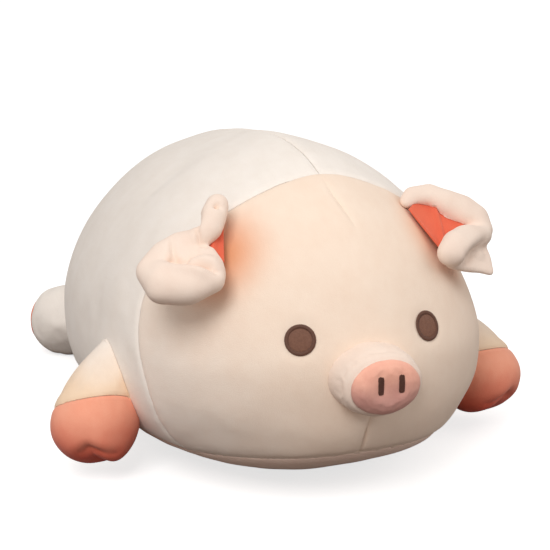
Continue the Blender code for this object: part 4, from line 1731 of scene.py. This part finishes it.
@dataclass(frozen=True)
class Studio:
    """A plain pale floor, soft lamps and the camera."""

    camera_place: Point = (-0.4685, -1.28085, 0.4983)
    target: Point = (0.0, -0.03935, 0.1285)
    lens: float = 104.84
    shift: tuple[float, float] = (0.00824, 0.01747)
    floor_size: float = 60.0
    floor_bounce: Point = (0.20, 0.16, 0.14)
    floor_seen: Point = (0.62, 0.61, 0.60)
    floor_glow: float = 0.70
    world_strength: float = 0.59
    lamps: tuple[Lamp, ...] = (
        Lamp("key lamp", (-0.95, -1.30, 1.55), 1.0, 21.5),
        Lamp("fill lamp", (1.5, -0.9, 1.0), 1.4, 5.5),
    )

    def build(self) -> None:
        """Build the floor, the light and the camera."""
        scene = bpy.context.scene
        scene.view_settings.view_transform = 'Standard'
        camera = bpy.data.cameras.new("camera")
        camera.lens = self.lens
        camera.sensor_width = 36.0
        camera.shift_x, camera.shift_y = self.shift
        camera.dof.use_dof = False
        holder = bpy.data.objects.new("camera", camera)
        holder.location = self.camera_place
        target = Vector(self.target)
        holder.rotation_euler = (target - holder.location).to_track_quat('-Z', 'Y').to_euler()
        scene.collection.objects.link(holder)
        scene.camera = holder
        for lamp in self.lamps:
            lamp.build(target)
        self.light_world()
        self.lay_floor()

    def light_world(self) -> None:
        """An even pale room light, seen as white."""
        world = bpy.data.worlds.new("studio")
        bpy.context.scene.world = world
        world.use_nodes = True
        tree = world.node_tree
        background = tree.nodes["Background"]
        background.inputs['Color'].default_value = (1.0, 0.985, 0.97, 1.0)
        background.inputs['Strength'].default_value = self.world_strength
        seen = add_node(tree, 'ShaderNodeBackground')
        seen.inputs['Color'].default_value = (1.0, 1.0, 1.0, 1.0)
        rays = add_node(tree, 'ShaderNodeLightPath')
        mix = add_node(tree, 'ShaderNodeMixShader')
        tree.links.new(rays.outputs['Is Camera Ray'], mix.inputs[0])
        tree.links.new(background.outputs[0], mix.inputs[1])
        tree.links.new(seen.outputs[0], mix.inputs[2])
        tree.links.new(mix.outputs[0], tree.nodes["World Output"].inputs['Surface'])

    def lay_floor(self) -> None:
        """A plain white floor that keeps the pig's soft shadow."""
        bm = bmesh.new()
        bmesh.ops.create_grid(bm, x_segments=1, y_segments=1, size=self.floor_size / 2)
        floor = new_piece("floor", bm)
        material = bpy.data.materials.new("white floor")
        material.use_nodes = True
        tree = material.node_tree
        shader = tree.nodes["Principled BSDF"]
        shader.inputs['Roughness'].default_value = 0.9
        shader.inputs['Specular IOR Level'].default_value = 0.0
        shader.inputs['Emission Color'].default_value = (1.0, 1.0, 1.0, 1.0)
        rays = add_node(tree, 'ShaderNodeLightPath')
        seen = add_node(tree, 'ShaderNodeMix', data_type='RGBA')
        seen.inputs[6].default_value = (*self.floor_bounce, 1.0)
        seen.inputs[7].default_value = (*self.floor_seen, 1.0)
        tree.links.new(rays.outputs['Is Camera Ray'], seen.inputs[0])
        tree.links.new(seen.outputs[2], shader.inputs['Base Color'])
        tree.links.new(sum_of(tree, 'MULTIPLY', rays.outputs['Is Camera Ray'], self.floor_glow),
                       shader.inputs['Emission Strength'])
        floor.data.materials.append(material)


FRONT_LEG = LegPlan(
    "front", (0.16381, -0.08854, 0.06453), (0.40, -0.43, -0.81), seam_share=0.22, arch_share=1.0,
    pivot_along=-0.0447, bend=0.045, lowest=0.0125, cleft_shift=0.010,
    creases=(
        Crease(((-0.0170, 0.0050, 0.0470), (-0.0080, 0.0130, 0.0490), (0.0, 0.0170, 0.0470),
                (0.0080, 0.0130, 0.0490), (0.0170, 0.0050, 0.0470)), 0.0028, 0.0070, 0.0010),
    ),
)
REAR_LEG = LegPlan(
    "rear", (0.10476, 0.21124, 0.03714), (0.50, 0.85, -0.17), seam_share=0.76, arch_share=0.0,
    pivot_along=-0.0031, bend=0.040, lowest=0.0, sleeve_finish=CREAM,
)
RIGHT_EAR = EarPlan(
    rolls=(
        Roll(((-0.0209, 0.0047, 0.017, 0.0092), (-0.0084, 0.0079, 0.017, 0.0102), (0.0013, 0.0103,
             0.016, 0.0096), (0.0085, 0.0202, 0.012, 0.0092)), 0.95),
        Roll(((0.0077, 0.0202, 0.011, 0.0095), (0.0116, 0.0330, 0.009, 0.0115), (0.0209, 0.0434,
             0.009, 0.0130), (0.0346, 0.0545, 0.009, 0.0115))),
        Roll(((0.0355, 0.0545, 0.009, 0.0115), (0.0495, 0.0433, 0.013, 0.0170), (0.0520, 0.0279,
             0.016, 0.0170), (0.0458, 0.0147, 0.016, 0.0150), (0.0336, 0.0094, 0.014, 0.0092),
              (0.0235, 0.0140, 0.012, 0.0085))),
        Roll(((0.0251, 0.0316, 0.007, 0.0130), (0.0216, 0.0211, 0.009, 0.0095))),
        Roll(((-0.0240, 0.0010, 0.006, 0.0048), (-0.0100, 0.0130, 0.007, 0.0050))),
        Roll(((-0.0240, 0.0070, 0.003, 0.0040), (0.0000, 0.0100, 0.003, 0.0040), (0.0280, 0.0080,
             0.003, 0.0040))),
    ),
    lining=Pad(((-0.0240, 0.0000, 0.006), (-0.0079, 0.0132, 0.008), (0.0268, 0.0197, 0.009),
                (0.0260, 0.0000, 0.007)), hollow=0.0),
    creases=(
        Crease(((0.0330, 0.0387, 0), (0.0370, 0.0328, 0), (0.0397, 0.0255, 0), (0.0412, 0.0182,
               0), (0.0432, 0.0117, 0), (0.0470, 0.0060, 0)), 0.0125, 0.0060, 0.0022),
        Crease(((-0.0103, 0.0177, 0), (0.0052, 0.0212, 0), (0.0150, 0.0180, 0), (0.0188, 0.0128,
               0)), 0.0045, 0.0040),
        Crease(((0.0097, 0.0389, 0), (0.0240, 0.0380, 0), (0.0335, 0.0350, 0)), 0.0040, 0.0050),
        Crease(((-0.0155, 0.0071, 0), (-0.0135, 0.0049, 0), (-0.0125, 0.0026, 0)), 0.0090,
               0.0052),
    ),
)
LEFT_EAR = EarPlan(
    rolls=(
        Roll(((-0.0179, -0.0133, 0.007, 0.0055), (-0.0209, -0.0046, 0.009, 0.0080), (-0.0168,
             0.0092, 0.012, 0.0095), (-0.0057, 0.0181, 0.013, 0.0120), (0.0048, 0.0281, 0.013,
             0.0135), (0.0138, 0.0354, 0.012, 0.0130), (0.0236, 0.0354, 0.011, 0.0105)), 0.85),
        Roll(((0.0298, 0.0299, 0.012, 0.0095), (0.0340, 0.0088, 0.017, 0.0120), (0.0396, -0.0078,
             0.019, 0.0128), (0.0441, -0.0170, 0.018, 0.0112)), 0.9),
        Roll(((0.0467, -0.0120, 0.009, 0.0075), (0.0505, 0.0000, 0.008, 0.0075), (0.0556, 0.0134,
             0.007, 0.0065), (0.0603, 0.0204, 0.006, 0.0045)), 0.55),
        Roll(((0.0385, 0.0266, 0.007, 0.0065), (0.0503, 0.0230, 0.007, 0.0060), (0.0595, 0.0211,
             0.006, 0.0045)), 0.55),
        Roll(((0.0505, 0.0000, 0.008, 0.0070), (0.0503, 0.0130, 0.007, 0.0075), (0.0503, 0.0230,
             0.007, 0.0060)), 0.55),
        Roll(((0.0430, 0.0080, 0.009, 0.0080), (0.0450, 0.0150, 0.008, 0.0080)), 0.7),
        Roll(((-0.0070, 0.0010, 0.003, 0.0100), (0.0092, 0.0023, 0.003, 0.0120), (0.0076, 0.0178,
             0.005, 0.0160), (0.0179, 0.0228, 0.006, 0.0140)), 0.28),
    ),
    lining=Pad(((-0.0100, -0.0167, 0.008), (-0.0218, 0.0081, 0.010), (0.0191, 0.0230, 0.012),
                (0.0384, -0.0138, 0.009)), hollow=0.003, fold_height=0.0035, fold_place=0.59,
               fold_slant=-1.17, fold_width=0.09),
    creases=(
        Crease(((0.0529, -0.0084, 0), (0.0510, -0.0026, 0), (0.0485, 0.0048, 0), (0.0450, 0.0130,
               0), (0.0406, 0.0220, 0)), 0.0036, 0.0048, 0.0008),
        Crease(((0.0164, 0.0014, 0), (0.0197, 0.0077, 0), (0.0221, 0.0147, 0), (0.0247, 0.0264,
               0)), 0.0050, 0.0060, 0.0010),
    ),
    bend=(-0.002, 0.024),
)


def main() -> None:
    """Build the studio and the pig's sub-assemblies in order."""
    logging.basicConfig(level=logging.INFO, format="%(message)s")
    Studio().build()
    surface = Body().build()
    for side in Side:
        Eye(side).build(surface)
    Snout().build(surface)
    for plan in (FRONT_LEG, REAR_LEG):
        for side in Side:
            Leg(plan, side).build(surface)
    Ear(Side.RIGHT, RIGHT_EAR).build(surface)
    Ear(Side.LEFT, LEFT_EAR).build(surface)
    Tail().build()


if __name__ == "__main__":
    main()
